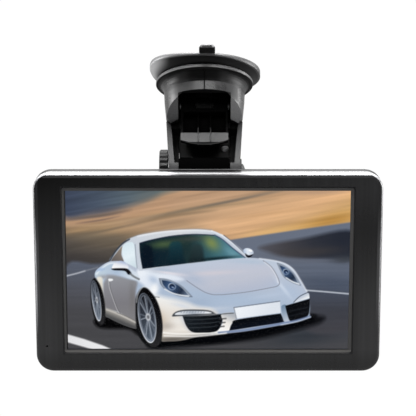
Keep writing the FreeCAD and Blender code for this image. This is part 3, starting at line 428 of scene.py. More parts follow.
def panel_material():
    """Clear touch layer with a printed grey border and a faint reflection."""
    g = Graph("screen_clear")
    x, _, z = g.split(g.coords)
    from_middle = g.size(g.less(x, PICTURE_X * MM))
    over_x = g.less(from_middle, BORDER_W * MM)
    over_z = g.less(g.size(z), (PICTURE_H + 0.02) * MM)
    border = g.math("GREATER_THAN", g.most(over_x, over_z), 0)
    speck = g.noise(2500, 2, 0.6)
    ink = g.mix(g.span(speck, 0, 1), (0.060, 0.060, 0.062, 1), (0.080, 0.078, 0.075, 1))
    # The border is lighter along its bottom edge.
    ink = g.mix(g.fall(z, -0.0452, -0.0444), ink, (0.135, 0.132, 0.128, 1))
    printed = g.shader(ink, 0.30, 0)
    shine = g.plug(g.add("BsdfGlossy"), Roughness=0.12)
    fresnel = g.plug(g.add("Fresnel"), IOR=1.10)
    glass = g.blend(fresnel, g.add("BsdfTransparent").outputs[0], shine)
    return g.finish(g.blend(border, glass, printed))


def rubber_material():
    """Soft black rubber: dark beneath, with painted highlights and a little more shine round the rim, the tab's
    end and the curled left edge.
    """
    g = Graph("cup_rubber")
    x, q, _ = g.mount_axes()
    radius = barrel_radius(g, x, q)
    # Painted highlight on the rim's edge, fading towards the right, and on the tab's end bead.
    edge = g.times(g.step(radius, 30, 30.7), g.fall(radius, 32.4, 33))
    edge = g.times(edge, g.span(x, 1, 0.3, 4, 22))
    rim = g.most(edge, g.step(radius, 40.4, 41.2))
    # Painted highlight on the curled-up left edge of the rubber.
    curl = g.times(g.fall(x, -29.5, -18.5), g.step(radius, 25, 30), g.fall(q, 2, 16),
                   g.step(facing(g, (0, -1)), 0, 0.3))
    cloud = g.noise(70, 4, 0.6)
    grain = g.noise(3000, 2, 0.6)
    dull = g.mix(g.span(cloud, 0, 1), (0.007, 0.007, 0.0072, 1), (0.012, 0.012, 0.0122, 1))
    colour = g.mix(rim, dull, (0.085, 0.085, 0.087, 1))
    colour = g.mix(curl, colour, (0.42, 0.42, 0.425, 1))
    gloss = g.span(cloud, 0.36, 0.46)
    shine = g.plus(g.times(g.most(rim, curl), 0.45), 0.12)
    return g.finish(g.shader(colour, gloss, 0, g.bump(grain, 0.4, 0.00003), Specular_IOR_Level=shine))


SPECIAL = {
    "case_black": bezel_material,
    "cover_black": cover_material,
    "screen_clear": panel_material,
    # The arm, lever, washers and bracket take painted shade in their hollows and in the gap between the arms; the
    # arm also a painted light on its slanted cheeks.
    "arm_black": lambda: arm_material("arm_black", 0.020, 0.028, 0.27, 0.5, arm_hollows, 0.008,
                                      arm_slants, arm_rims),
    "washer_nylon": lambda: arm_material("washer_nylon", 0.10, 0.14, 0.4, 0.5, gap_front, 0.001),
    "bracket_black": lambda: arm_material("bracket_black", 0.012, 0.018, 0.45, 0.4, gap_front, 0.0006),
    "lever_black": lambda: arm_material("lever_black", 0.014, 0.022, 0.34, 0.36, lever_hollows, 0.004),
    "plunger_grey": lambda: arm_material("plunger_grey", 0.004, 0.006, 0.5, 0.2),
    "knob_black": lambda: arm_material("knob_black", 0.007, 0.011, 0.42, 0.12),
    "cup_rubber": rubber_material,
}


def paint_nodes():
    slots = {m["slot"]: m for m in RECORD["materials"]}
    made = {}
    for name, slot in slots.items():
        made[name] = SPECIAL[name]() if name in SPECIAL else class_material(slot)
    # The flange's grey, lighter than the arm's black, stands for the light on its edge; its underside gets painted
    # shade.
    flange = arm_material("flange_black", 0.050, 0.065, 0.36, 0.42, flange_under, 0.006)
    # Near-white screw head and lever pin ends: a painted glint.
    bright = arm_material("screw_painted_glint", 0.80, 0.95, 0.18, 1)
    own = {"base_flange": flange, "tilt_bolt": arm_material("bolt_black", 0.010, 0.016, 0.4, 0.25),
           "arm_cover_screw": bright, "lever_pin": bright}
    for part in RECORD["subparts"]:
        mesh = NODES[part["node"]].data
        mesh.materials.clear()
        mesh.materials.append(own.get(part["node"], made[part["material_slot"]]))
    return made


# ---------------------------------------------------------------- mesh helpers
def add_mesh(name, verts, faces, material):
    mesh = bpy.data.meshes.new(name)
    mesh.from_pydata([tuple(v) for v in verts], [], faces)
    mesh.materials.append(material)
    mesh.polygons.foreach_set("use_smooth", [True] * len(mesh.polygons))
    mesh.update()
    obj = bpy.data.objects.new(name, mesh)
    bpy.context.scene.collection.objects.link(obj)
    return obj


def add_piece(name, verts, faces, material, body):
    """Mesh that rides on a body, with the given material."""
    piece = add_mesh(name, verts, faces, material)
    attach(piece, body)
    return piece


def from_mount(x, q, w):
    """Point in the mount's own axes, in millimetres, to the row frame."""
    return (TILT[0] + x * MM,
            TILT[1] + (q * math.cos(LEAN) + w * math.sin(LEAN)) * MM,
            TILT[2] + (-q * math.sin(LEAN) + w * math.cos(LEAN)) * MM)


# ---------------------------------------------------------------- suction cup
def rim_lift(angle, radius, under):
    """How far the free rubber is flexed: curled up on the left, rolled down on the right."""
    reach = max(0, (radius - FREE_START) / (FREE_END - FREE_START)) ** 2
    left = max(0, math.cos(angle - math.radians(190))) ** 3
    right = max(0, math.cos(angle)) ** 2
    near = max(0, -math.sin(angle)) ** 2
    ripple = 0.18 * math.sin(3 * angle + 0.6)
    if under:
        return reach * (3.2 * left - 2 * right - 1.1 * near + ripple)
    return reach * (4.2 * left + 0.2 * right - 1.1 * near + ripple)


def suction_cup(material):
    """Turned rubber cup whose thin rim is flexed."""
    face = [(0, 58.9), (8, 58.95), (14, 59), (20, 59.15), (24, 59.4), (27.5, 60), (29.6, 60.35),
            (30.5, 60.4), (30.85, 60.25), (31, 59.9)]
    under = [(31, 59.1), (30.8, 58.75), (30.3, 58.5), (29.2, 57.9), (27.6, 56.5), (26.6, 55.6),
             (26, 55.15), (25.2, 54.95), (20, 54.85), (13.6, 54.8), (13.4, 54.4), (13.4, 52.7)]
    profile = [(r, w, False) for r, w in face] + [(r, w, True) for r, w in under]
    steps = 160
    verts, faces = [], []
    for r, w, below in profile:
        for i in range(steps):
            a = 2 * math.pi * i / steps
            spread = 1 + 0.018 * max(0, math.cos(a)) ** 2 * max(0, (r - 26) / 5)
            lift = rim_lift(a, r, below)
            verts.append(from_mount(r * spread * math.cos(a), r * math.sin(a), w + lift))
    for ring in range(len(profile) - 1):
        for i in range(steps):
            j = (i + 1) % steps
            a, b = ring * steps, (ring + 1) * steps
            faces.append((a + i, a + j, b + j, b + i))
    cup = add_piece("cup_skin", verts, faces, material, "mount_base")
    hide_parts("suction_cup")


def pull_tab(material):
    """Tongue under the near edge with a rounded end bead and small grip dots."""
    cols, rows = 41, 81
    half, start, end, middle = 4.4, 25, 42.3, 58.75
    verts, faces = [], []
    for side in (-1, 1):
        for j in range(rows):
            t = j / (rows - 1)
            for i in range(cols):
                s = -1 + 2 * i / (cols - 1)
                corner = max(0, (t - 0.72) / 0.28)
                width = half * math.sqrt(max(0, 1 - 0.75 * corner ** 2.6))
                bead = math.exp(-((t - 0.93) / 0.05) ** 2) * 0.35
                edge = max(0, 1 - abs(s) ** 8) ** 0.5 * max(0, 1 - corner ** 8) ** 0.5
                dots = 0
                if side < 0 and 0.2 < t < 0.88 and abs(s) < 0.85:
                    dots = 0.16 * max(0, math.sin(s * 17) * math.sin(t * 62))
                w = middle + side * (0.68 + bead + dots) * edge
                verts.append(from_mount(TAB_SHIFT + width * s, -(start + (end - start) * t), w))
    top = cols * rows
    for j in range(rows - 1):
        for i in range(cols - 1):
            a = j * cols + i
            faces.append((a, a + cols, a + cols + 1, a + 1))
            faces.append((top + a, top + a + 1, top + a + cols + 1, top + a + cols))
    add_piece("pull_tab", verts, faces, material, "mount_base")


# ---------------------------------------------------------------- the lit picture
COLS, ROWS = 481, 283
RANDOM = np.random.default_rng(11)


def tone(code):
    """Display colour, written as six hexadecimal digits, as three fractions."""
    return np.array([int(code[i:i + 2], 16) for i in (0, 2, 4)]) / 255


def rounded(points, closed=True, steps=6):
    """Smooth curve through the points; a point given twice makes a sharp corner."""
    p = np.asarray(points, float)
    n = len(p)
    curve = []
    for i in range(n if closed else n - 1):
        if closed:
            a, b, c, d = (p[(i + k) % n] for k in (-1, 0, 1, 2))
        else:
            a, b, c, d = p[max(i - 1, 0)], p[i], p[i + 1], p[min(i + 2, n - 1)]
        if np.allclose(b, c):
            continue
        for k in range(steps):
            t = k / steps
            curve.append(0.5 * (2 * b + (c - a) * t + (2 * a - 5 * b + 4 * c - d) * t ** 2
                                + (3 * b - a - 3 * c + d) * t ** 3))
    if not closed:
        curve.append(p[-1])
    return np.array(curve)


def edge_distance(uu, vv, points, closed):
    """Distance from each place to a run of straight pieces, and which places it encloses."""
    starts = points if closed else points[:-1]
    ends = np.roll(points, -1, 0) if closed else points[1:]
    nearest = np.full(uu.shape, 1e9)
    inside = np.zeros(uu.shape, bool)
    for (ax, ay), (bx, by) in zip(starts, ends):
        dx, dy = bx - ax, by - ay
        length = dx * dx + dy * dy
        if length < 1e-12:
            continue
        t = np.clip(((uu - ax) * dx + (vv - ay) * dy) / length, 0, 1)
        nearest = np.minimum(nearest, (uu - ax - t * dx) ** 2 + (vv - ay - t * dy) ** 2)
        if closed and abs(dy) > 1e-9:
            inside ^= ((ay > vv) != (by > vv)) & (uu < dx * (vv - ay) / dy + ax)
    return np.sqrt(nearest), inside


class Painting:
    """Grid of points whose colours are laid on shape by shape, in millimetres from the centre."""

    def __init__(self):
        self.u = np.linspace(PICTURE_X - PICTURE_W, PICTURE_X + PICTURE_W, COLS)
        self.v = np.linspace(-PICTURE_H, PICTURE_H, ROWS)
        self.uu, self.vv = np.meshgrid(self.u, self.v)
        self.rgb = np.zeros(self.uu.shape + (3,))

    def near(self, points, margin):
        low, high = points.min(0) - margin, points.max(0) + margin
        return (slice(*np.searchsorted(self.v, (low[1], high[1]))),
                slice(*np.searchsorted(self.u, (low[0], high[0]))))

    def lay(self, place, cover, colour):
        self.rgb[place] += (colour - self.rgb[place]) * cover[..., None]

    def gradient(self, place, colours, aim):
        """Colour that changes evenly along the aim, a pair of points; one colour stays plain."""
        colours = np.array([tone(code) for code in colours.split()])
        if len(colours) == 1 or aim is None:
            return colours[0]
        start, run = np.array(aim[0], float), np.array(aim[1], float) - np.array(aim[0], float)
        t = ((self.uu[place] - start[0]) * run[0] + (self.vv[place] - start[1]) * run[1]) / (run @ run)
        stops = np.linspace(0, 1, len(colours))
        return np.stack([np.interp(t, stops, colours[:, k]) for k in range(3)], -1)

    def cover(self, outline, soft, curved=True):
        points = rounded(outline) if curved else np.array(outline, float)
        place = self.near(points, 2 * soft + 0.5)
        away, inside = edge_distance(self.uu[place], self.vv[place], points, True)
        return place, np.clip(0.5 + np.where(inside, away, -away) / (2 * soft), 0, 1)

    def fill(self, outline, colours, aim=None, soft=0.22, opacity=1, curved=True, clip=None):
        place, cover = self.cover(outline, soft, curved)
        if clip is not None:
            cover = cover * clip[place]
        self.lay(place, cover * opacity, self.gradient(place, colours, aim))

    def line(self, points, width, colour, soft=0.2, opacity=1):
        points = rounded(points, False)
        place = self.near(points, width + 2 * soft + 0.5)
        away, _ = edge_distance(self.uu[place], self.vv[place], points, False)
        self.lay(place, np.clip(0.5 + (width / 2 - away) / (2 * soft), 0, 1) * opacity, tone(colour))

    def streak(self, points, width, colour, soft=0.8, opacity=0.6):
        """Blurred stroke that fades out towards both ends."""
        curve = rounded(points, False)
        place = self.near(curve, width + 2 * soft + 0.5)
        away, _ = edge_distance(self.uu[place], self.vv[place], curve, False)
        along = np.clip((self.uu[place] - curve[0, 0]) / (curve[-1, 0] - curve[0, 0]), 0, 1)
        cover = np.clip(0.5 + (width / 2 - away) / (2 * soft), 0, 1)
        fade = np.sin(math.pi * along) ** 0.7
        self.lay(place, cover * cover * (3 - 2 * cover) * fade * opacity, tone(colour))

    def glow(self, centre, radii, colour, opacity=1, turn=0, clip=None):
        a = math.radians(turn)
        du, dv = self.uu - centre[0], self.vv - centre[1]
        x, y = du * math.cos(a) + dv * math.sin(a), dv * math.cos(a) - du * math.sin(a)
        cover = opacity * np.exp(-(x / radii[0]) ** 2 - (y / radii[1]) ** 2)
        self.lay(slice(None), cover if clip is None else cover * clip, tone(colour))

    def clip(self, outline, soft=0.3):
        full = np.zeros(self.uu.shape)
        place, cover = self.cover(outline, soft)
        full[place] = cover
        return full

    def streaks(self, slope, length, height):
        """Random light and dark drawn out along a slope, between -1 and 1."""
        along = (self.uu + slope * self.vv) / length + 40
        across = (self.vv - slope * self.uu) / height + 60
        grid = RANDOM.uniform(-1, 1, (160, 90))
        i, j = np.floor(across).astype(int), np.floor(along).astype(int)
        s, t = across - i, along - j
        s, t = s * s * (3 - 2 * s), t * t * (3 - 2 * t)
        i, j = i % 159, j % 89
        low = grid[i, j] * (1 - t) + grid[i, j + 1] * t
        high = grid[i + 1, j] * (1 - t) + grid[i + 1, j + 1] * t
        return low * (1 - s) + high * s


def on_ellipse(centre, radii, turn, angle):
    a = math.radians(turn)
    x, y = radii[0] * math.cos(angle), radii[1] * math.sin(angle)
    return (centre[0] + x * math.cos(a) - y * math.sin(a), centre[1] + x * math.sin(a) + y * math.cos(a))


def ellipse(centre, radii, turn=0, count=28):
    return [on_ellipse(centre, radii, turn, 2 * math.pi * k / count) for k in range(count)]


def paint_hills(p):
    """Sunlit hills and sky drawn out by speed."""
    p.rgb[:] = tone("967d62")
    far = [(-78, 24), (-40, 31), (0, 38), (50, 46), (-78, 46)]
    p.fill([(-78, 24), (-78, 46), (78, 46), (78, 24), (20, 14), (-40, 14)], "be9874", soft=3)
    p.fill([(-78, 4), (-78, 27), (-30, 30), (0, 26), (4, 14), (-30, 6)],
        "4a4643 58514a 746756 a08566 b09172", ((-60, 6), (-54, 29)), 3)
    p.fill([(-20, 40), (78, 56), (78, 22), (30, 19), (4, 22)], "d4aa70 d5a97e cba37d b89676",
        ((40, 20), (30, 46)), 2.5)
    for spot in [((66, 28), (18, 3.4), "a87c3e", 0.9, 10), ((36, 20), (16, 3.2), "dab072", 0.7, 10),
            ((44, 30), (18, 4), "dbaf82", 0.7, 10)]:
        p.glow(*spot)
    p.fill(far, "b69174 be9b7c", ((-60, 28), (40, 44)), 1.6, 0.75)
    for spot in [((-52, 17), (16, 3), "685e52", 0.8, 9), ((-70, 22.6), (12, 2.2), "a68866", 0.8, 9),
            ((-20, 27), (16, 2), "967c64", 0.7, 10)]:
        p.glow(*spot)
    sky = [(-78, 29.9), (-62, 31.3), (-48, 34.2), (-36, 38), (-25, 42.4), (-16, 47), (-78, 48)]
    p.fill(sky, "3e475a 485363 56636c 5e6c6d", ((-76, 36), (-24, 43)), 1.9)
    p.glow((-58, 33), (14, 1.8), "54545e", 0.7, 10)
    p.glow((-34, 40.6), (8, 3), "6a6e6e", 0.6, 22)
    broad, fine = p.streaks(0.17, 46, 2.6), p.streaks(0.17, 22, 1.1)
    gain = 1 + 0.075 * broad + 0.06 * fine
    p.rgb *= gain[..., None]
    p.streak([(-46, 27), (-26, 30.6), (-8, 34.2), (12, 38.4), (30, 42.4), (50, 46.5)], 1.5, "70685e", 0.9,
        0.85)
    p.streak([(-34, 29.2), (-10, 33.6), (16, 37), (40, 40)], 1.2, "968064", 1, 0.7)
    p.streak([(-44, 24.4), (-26, 29.4), (-10, 31.8), (6, 33.6)], 1.6, "806e58", 0.9, 0.7)
    p.streak([(-80, 28), (-68, 29.2), (-54, 31), (-40, 34)], 1.4, "625854", 0.9, 0.85)
    p.streak([(-72, 26), (-58, 28), (-46, 30.6)], 0.8, "5a4e4c", 0.7, 0.6)
    p.streak([(-80, 19.6), (-62, 21), (-46, 24.4), (-34, 27.4)], 1.2, "6c6052", 0.9, 0.6)
    p.streak([(-80, 24.6), (-58, 25.4), (-40, 28.4), (-22, 32)], 1.3, "be9e7c", 0.9, 0.7)
    p.streak([(4, 27), (24, 30.2), (44, 33), (62, 35.4)], 1.8, "bc946c", 1.2, 0.6)
    p.streak([(40, 43.6), (58, 43.2), (78, 44.6)], 2.4, "b09078", 1.4, 0.6)


def paint_road(p):
    """Asphalt, verges and lane lines."""
    p.fill([(-78, 8.5), (-60, 11), (-40, 13), (-30, 6), (-30, -2), (-78, -2)], "3a3839 423e3c 524c46",
        ((-66, 2), (-64, 12)), 1.2)
    p.fill([(-78, 0.6), (-60, 3.6), (-30, 6), (30, 12), (78, 14), (78, -48), (-78, -48)],
        "606878 585e6c 50525a 48484c 464649", ((0, 6), (-6, -44)), 1)
    p.fill([(8, 16), (12, 17), (44, 22), (78, 27), (78, 5), (56, 5), (24, 6)], "687080", None, 0.5,
        curved=False)
    p.fill([(28, 13.2), (50, 17.6), (78, 22), (78, 6.5), (62, 5.4), (44, 7.2), (34, 9.8)],
        "54545c 424146 2e313a 252934", ((28, 10), (72, 17)), 1.3)
    for spot in [((56, 10.5), (18, 2.6), "423e3e", 0.6, 4), ((60, 5.4), (24, 1.5), "626876", 0.9, 1),
            ((74, 6.4), (7, 2.4), "3a3e44", 0.8, 0), ((68, -7), (22, 5), "4c5566", 0.9, -2),
            ((72, -22), (22, 9), "2d3544", 0.95, -6), ((54, -37), (22, 6), "32373e", 0.9, 8)]:
        p.glow(*spot)
    p.fill([(52, -12.6), (78, -15), (78, -34), (54, -34)], "464c5a 3e4048 424248", ((60, -12), (60, -34)),
        1.5)
    fine = p.streaks(0.02, 26, 0.9)
    below = np.clip((8 - p.vv) / 6, 0, 1)
    p.rgb *= (1 + 0.035 * fine * below)[..., None]
    p.line([(-78, -3.4), (-72, -1.9), (-67, -0.4)], 0.7, "c4c8d0", 0.4, 0.9)
    p.line([(-67, -0.4), (-60, 1.6)], 0.5, "969aa2", 0.5, 0.6)
    p.fill([(-78, -36), (-78, -40.6), (-66, -44.2), (-52, -48), (-46, -48), (-58, -42.6), (-68, -39)],
        "e2e2e4 ececee", ((-77, -38), (-55, -44)), 0.45, curved=False)
    p.line([(53, -11.2), (64, -12.1), (78, -13.4)], 0.8, "bec4ce", 0.3, 0.95)


BODY = [(-61.6, -3), (-61, -0.4), (-58, 2.4), (-53, 5), (-46, 4.6), (-38, 0.8), (-36, -0.2), (-20, 2.6),
    (0, 5), (14, 6.4), (24, 6.9), (34, 5.8), (41, 4.2), (46, 1), (50, -5), (53.4, -11), (55.2, -15),
    (55.8, -20), (55.6, -24), (54.8, -26.6), (48, -29.2), (36, -31.8), (20, -34.6), (8, -36),
    (-4, -37.2), (-14, -39.6), (-22, -40.2), (-25.8, -39.6), (-27, -33), (-28.6, -24), (-30.5, -17),
    (-34, -11.5), (-37.5, -13), (-38.8, -20), (-39, -30), (-39, -33), (-46, -31), (-54, -27),
    (-56.2, -25), (-57.4, -17), (-58.8, -10), (-60.8, -6)]
SCREEN = [(-37.2, 15), (-37.2, 15), (-36.8, 8), (-35.6, 0.9), (-35.6, 0.9), (-20, 2.7), (0, 5.1),
    (10, 6.2), (19.6, 6.9), (19.6, 6.9), (13, 12.6), (7.4, 17.2), (3.4, 19.3), (-8, 19.9),
    (-20, 18.9), (-31, 16.8)]


def paint_shadow(p):
    p.fill([(-62, -28), (-59, -32.6), (-44, -33.4), (-38, -36.5), (-36, -30), (-52, -26)], "040405", None,
        1.2)
    p.fill([(-34, -40), (-31, -44.4), (-18, -43.6), (4, -41.8), (30, -37), (50, -31.6), (58, -27.6),
        (56, -25), (30, -31), (0, -35), (-24, -37)], "030406", None, 1.3)
    p.fill([(-6, -36), (0, -41), (24, -39.6), (46, -34.6), (62, -29.4), (56, -26)], "030407", None, 1.8,
        0.85)


def paint_cabin(p):
    """Roof, pillars, side glass and windscreen, with nobody inside."""
    roof = [(-53.6, 4.6), (-50.6, 10), (-46.6, 14.8), (-42, 18), (-35, 20.2), (-22, 22.1), (-8, 22.9),
        (0, 22.5), (6.2, 20.6), (13.4, 15), (20.6, 8.4), (22.4, 6.4), (10, 3), (-36, -1.5), (-46, 2)]
    p.fill(roof, "c4ceda ccd2da d6d8dc c4ccd8", ((-50, 6), (4, 24)))
    p.line([(-38, 19), (-24, 21.4), (-8, 22.3), (2, 21.8)], 0.7, "f0f3f8", 0.5, 0.8)
    p.line([(2, 22), (9, 18.6), (16, 13.2), (21.6, 8)], 0.7, "f0f4fa", 0.35, 0.8)
    p.line([(-53.4, 5.2), (-50.4, 10.2), (-46.4, 14.8), (-42.6, 17.4)], 0.9, "343a44", 0.25, 0.9)
    p.line([(-44, 17.2), (-35, 20.6), (-22, 22.6), (-8, 23.2), (2, 22.7)], 0.4, "9698a0", 0.3, 0.6)
    p.fill([(-52.6, 5.2), (-49.6, 9.8), (-46.4, 13.4), (-47, 9), (-45.8, 4.9), (-49, 5.2)],
        "625c5a 92867a", ((-51, 5), (-46, 12)))
    p.fill([(-46.6, 12.2), (-44.6, 15), (-41.2, 15.7), (-39.9, 13.6), (-39.4, 6), (-38.7, 0.6),
        (-38.7, 0.6), (-42.2, 0.9), (-44.4, 3.2), (-46.2, 7.4)], "cedee6 e4f0f6 d8e8f0",
        ((-40, 2), (-45, 14)))
    p.line([(-39.3, 15), (-38.4, 8), (-37.4, 0.4)], 1, "c4ccd8", 0.4, 0.8)
    p.line([(-39.5, 14.4), (-39.1, 8), (-38.5, 1.2)], 0.35, "788492", 0.2, 0.8)
    p.fill(SCREEN, "0a1a26 10242e 1e3234 386470 5c8c9c", ((-36, 6), (17, 11)))
    glass = p.clip(SCREEN, 0.35)
    for spot in [((-24, 14.6), (8, 2.4), "546842", 0.75, 6), ((-9, 17.6), (9, 1.7), "464a42", 0.6, 3),
            ((2, 15.2), (5, 3.4), "88924e", 0.8, -42)]:
        p.glow(*spot, glass)
    p.fill([(-35.2, 12.8), (-32.6, 14), (-30.2, 12), (-30, 1), (-35.6, 0.2)], "091420", None, 0.8, 0.85,
        clip=glass)
    p.fill([(-20.6, 14.6), (-17.8, 16.2), (-14.6, 15), (-13.4, 8), (-12.6, 2), (-22, 1), (-21.2, 9)],
        "163a44 0d202a", ((-18, 15), (-17, 4)), 0.8, 0.85, clip=glass)
    p.fill([(-8.6, 12.8), (-6.2, 14.6), (-3.2, 13.2), (-2.2, 7), (-1.8, 3.8), (-10, 3.2), (-9.6, 8)],
        "28383a 182226", ((-6, 14), (-5, 5)), 0.8, 0.8, clip=glass)
    p.glow((13, 9.6), (5.5, 2), "78a6b2", 0.5, -38, glass)
    p.glow((4, 6.6), (12, 0.9), "0c1a1e", 0.8, 5, glass)
    p.line([(-36.9, 15.2), (-31, 16.9), (-20, 19.1), (-8, 20.1), (3.3, 19.6)], 0.5, "121c2e", 0.25, 0.95)
    p.line([(3.7, 19.7), (8, 17.1), (13.6, 12.2), (20.2, 7)], 0.6, "263c58", 0.25, 0.9)
    p.line([(7.2, 20), (14, 14.6), (21.4, 7.6)], 0.5, "eef3fa", 0.3, 0.9)
    p.line([(8.6, 19.6), (14.8, 14.4), (22, 7.4)], 0.4, "404a5c", 0.25, 0.85)


def paint_body(p):
    """Silver body: bonnet, nose, wings, door and sill."""
    body = p.clip(BODY, 0.25)
    p.fill(BODY, "c0cada b8c1d1 aabbd1 b4c0d2 c6c6ca", ((8, 6), (2, -36)))
    p.fill([(-34, -0.6), (-20, 2), (0, 4.6), (14, 6), (28, 5.6), (34, 2), (38, -4.5), (38, -7.8),
        (34, -9.4), (20, -12), (6, -13.4), (0, -12.8), (-6, -9.6), (-14, -4.6), (-24, -2.4)],
        "bec8d9 c0c5d4 c0c3d0 b4bbcd", ((6, 6), (10, -13)), 1.2, 0.85)
    for spot in [((2, -1.6), (16, 1.4), "d6ced4", 0.6, 3), ((-8, -4.6), (7, 3), "acb9ce", 0.7, -30),
            ((22, 4.8), (12, 1.3), "b2c2d4", 0.8, -3), ((44, -12), (9, 5.5), "b0c0d6", 0.9, -20),
            ((-4, -18.4), (9, 2.6), "9eb0c8", 0.8, -4), ((12, -17.6), (16, 2), "acbdd3", 0.7, 6),
            ((-2, -22), (12, 1.1), "ced5e0", 0.7, 3), ((33, -14.2), (10, 1.3), "b8c6da", 0.7, 9),
            ((40.6, -9.6), (7, 1), "d6e0ee", 0.6, -52)]:
        p.glow(*spot, body)
    p.fill([(-38, 0.4), (-30, 0.4), (-20, -2), (-13.4, -5), (-18, -6.2), (-25, -5), (-28, -9), (-31, -13),
        (-35, -8.6), (-38.4, -5)], "ecf1f8 d6dfed", ((-30, 1), (-27, -12)), 1, 1, clip=body)
    for spot in [((-29.5, -5.6), (3.4, 2.2), "b4c4da", 0.9, -40),
            ((-25.4, -0.6), (6.5, 1.3), "9cafc4", 0.9, -6),
            ((-29.6, -10.2), (2, 2.2), "e8ecf0", 0.9, -24),
            ((-22, -1.4), (9, 0.9), "e8e2e8", 0.8, -8),
            ((-29.2, -11.6), (2.2, 3.6), "fafbfd", 0.9, -24)]:
        p.glow(*spot, body)
    p.fill([(-31, -15), (-22, -15.5), (-12, -18), (-6, -20.4), (2, -22), (4, -25.4), (-14, -25.6),
        (-13, -31), (-9, -35), (-2, -37.4), (-16, -41), (-27.4, -41), (-27.4, -30)],
        "f4f3f0 ece7e0 ded4c8 f0eae2 bab0a4", ((-20, -15), (-19, -40)), 1.6, 0.95, clip=body)
    for spot in [((-25.6, -29), (2.4, 6), "cebeac", 0.8, 6), ((-14, -20), (6, 1.4), "d0d8e4", 0.7, -14),
            ((-17, -28.8), (4, 3.2), "eeece8", 0.8, 0), ((-23, -31.6), (4.5, 2.4), "b8b0a8", 0.8, 0),
            ((-20, -39.4), (13, 1.9), "68635d", 1, 2), ((-4, -37.6), (9, 1.1), "606162", 0.9, 3)]:
        p.glow(*spot, body)
    p.line([(-26.6, -35), (-18, -36), (-6, -35.9), (8, -34.8)], 0.8, "faf8f4", 0.45, 0.95)
    side = [(-55.4, -4.6), (-54.6, -2.8), (-50, -3), (-43, -5), (-38.6, -6.6), (-39.4, -13),
        (-39.4, -28.8), (-49, -23.8), (-55.8, -21.6), (-57, -15), (-57, -8)]
    p.fill(side, "92949a 86868c 7c7b80 807f82", ((-47, -3), (-46, -26)), 0.7, 1, clip=body)
    p.glow((-41.4, -16), (1.6, 8), "747272", 0.7, 0, body)
    p.fill([(-61.4, -1.4), (-58, 1.8), (-53, 4.2), (-46, 3.4), (-39, -1.4), (-37.4, -5.6), (-43, -4.6),
        (-50, -2.2), (-55.6, -2.2), (-57, -6), (-60, -5)], "c4d4e0 acbed4 d6e0ea",
        ((-60, 0), (-40, -4)), 0.5, 1, clip=body)
    p.line([(-60.6, -2), (-57, 1.6), (-53, 3.9), (-47, 3.6)], 0.7, "f0f6fa", 0.4, 0.8)
    p.glow((-57, -3.8), (3, 1.3), "9ea0a6", 0.9, 0, body)
    p.glow((-58.4, 0.4), (2.4, 0.9), "96b0d8", 0.7, 16, body)
    p.fill([(-60.6, -4.6), (-57.6, -4.4), (-57.2, -12), (-56.4, -20), (-55.8, -26), (-57.6, -20),
        (-59, -11)], "e8e4d8 cec6b6 a8a092", ((-59, -4), (-57, -25)), 0.6, 1, clip=body)
    p.fill([(-56, -21.6), (-49, -24), (-39.2, -29.2), (-39, -33.6), (-47, -31.4), (-56.6, -26)],
        "c8c4be 96938e 545455 3c3c3e", ((-46, -24), (-49, -31)), 0.5, 1, clip=body)
    p.line([(-55.6, -22.2), (-49, -24.8), (-39.4, -29.8)], 0.6, "cecac4", 0.3, 0.85)
    p.line([(-54, -6.4), (-53.4, -11), (-50, -21.4), (-48.4, -24.4)], 0.35, "ceced0", 0.2, 0.8)
    p.line([(-53.6, -6.2), (-53, -11), (-49.6, -21.4), (-48, -24.2)], 0.3, "46464a", 0.2, 0.6)
    p.line([(-49.8, -24), (-45, -25.8), (-39.6, -28.6)], 0.35, "5c5a5a", 0.2, 0.7)
    p.fill([(-54.2, -4.8), (-52.2, -4.8), (-51.8, -5.7), (-53.8, -6.2)], "f0f2f4")
    p.line([(30, 5.4), (34.4, 2), (37.6, -3.2), (38.9, -7), (37.8, -8.8), (34, -9.8), (20, -12.4),
        (6, -13.8), (0, -13), (-5, -10.4), (-11.6, -5.8)], 0.4, "808492", 0.2, 0.95)
    p.line([(30.6, 4.6), (34, 1.6), (37, -3.2), (38.2, -7)], 0.4, "eeeef2", 0.25, 0.7)
    p.line([(-31, -14.8), (-26.6, -15.2)], 0.35, "464a52", 0.2, 0.8)
    p.line([(28, 6.6), (36, 5.4), (42, 3.6), (46.6, 0.2), (50.4, -5.6), (54, -12)], 0.6, "f0f4fa", 0.4,
        0.7)


def paint_mirrors(p):
    p.fill([(-52.2, 0.9), (-51, 3.9), (-47.8, 5.3), (-44.8, 4.4), (-43.2, 1.8), (-44.4, 0.7), (-50, 0.7)],
        "fcfcfd e2e5ec a8b6d4", ((-48, 1), (-47, 5.2)))
    p.fill([(-52.2, 1), (-46, 1.2), (-43.4, 0.6), (-41.6, -1.8), (-43.4, -2.4), (-45.4, -0.4), (-51, 0)],
        "0c0d11")
    p.line([(-42.2, -2), (-40.2, -3.6), (-37.6, -5)], 1.1, "707478", 0.3, 0.9)
    p.fill(ellipse((21.9, 10.4), (2.9, 1.9), -18), "a6b8d2 e2eaf4 bec8d8", ((19, 10), (24, 11)))
    p.fill([(20.2, 9.4), (22, 8.4), (24.4, 8.9), (22.8, 7.2), (21, 7.4)], "10121a")
    p.fill(ellipse((23, 11), (1.1, 0.6), -20), "f8fafc")


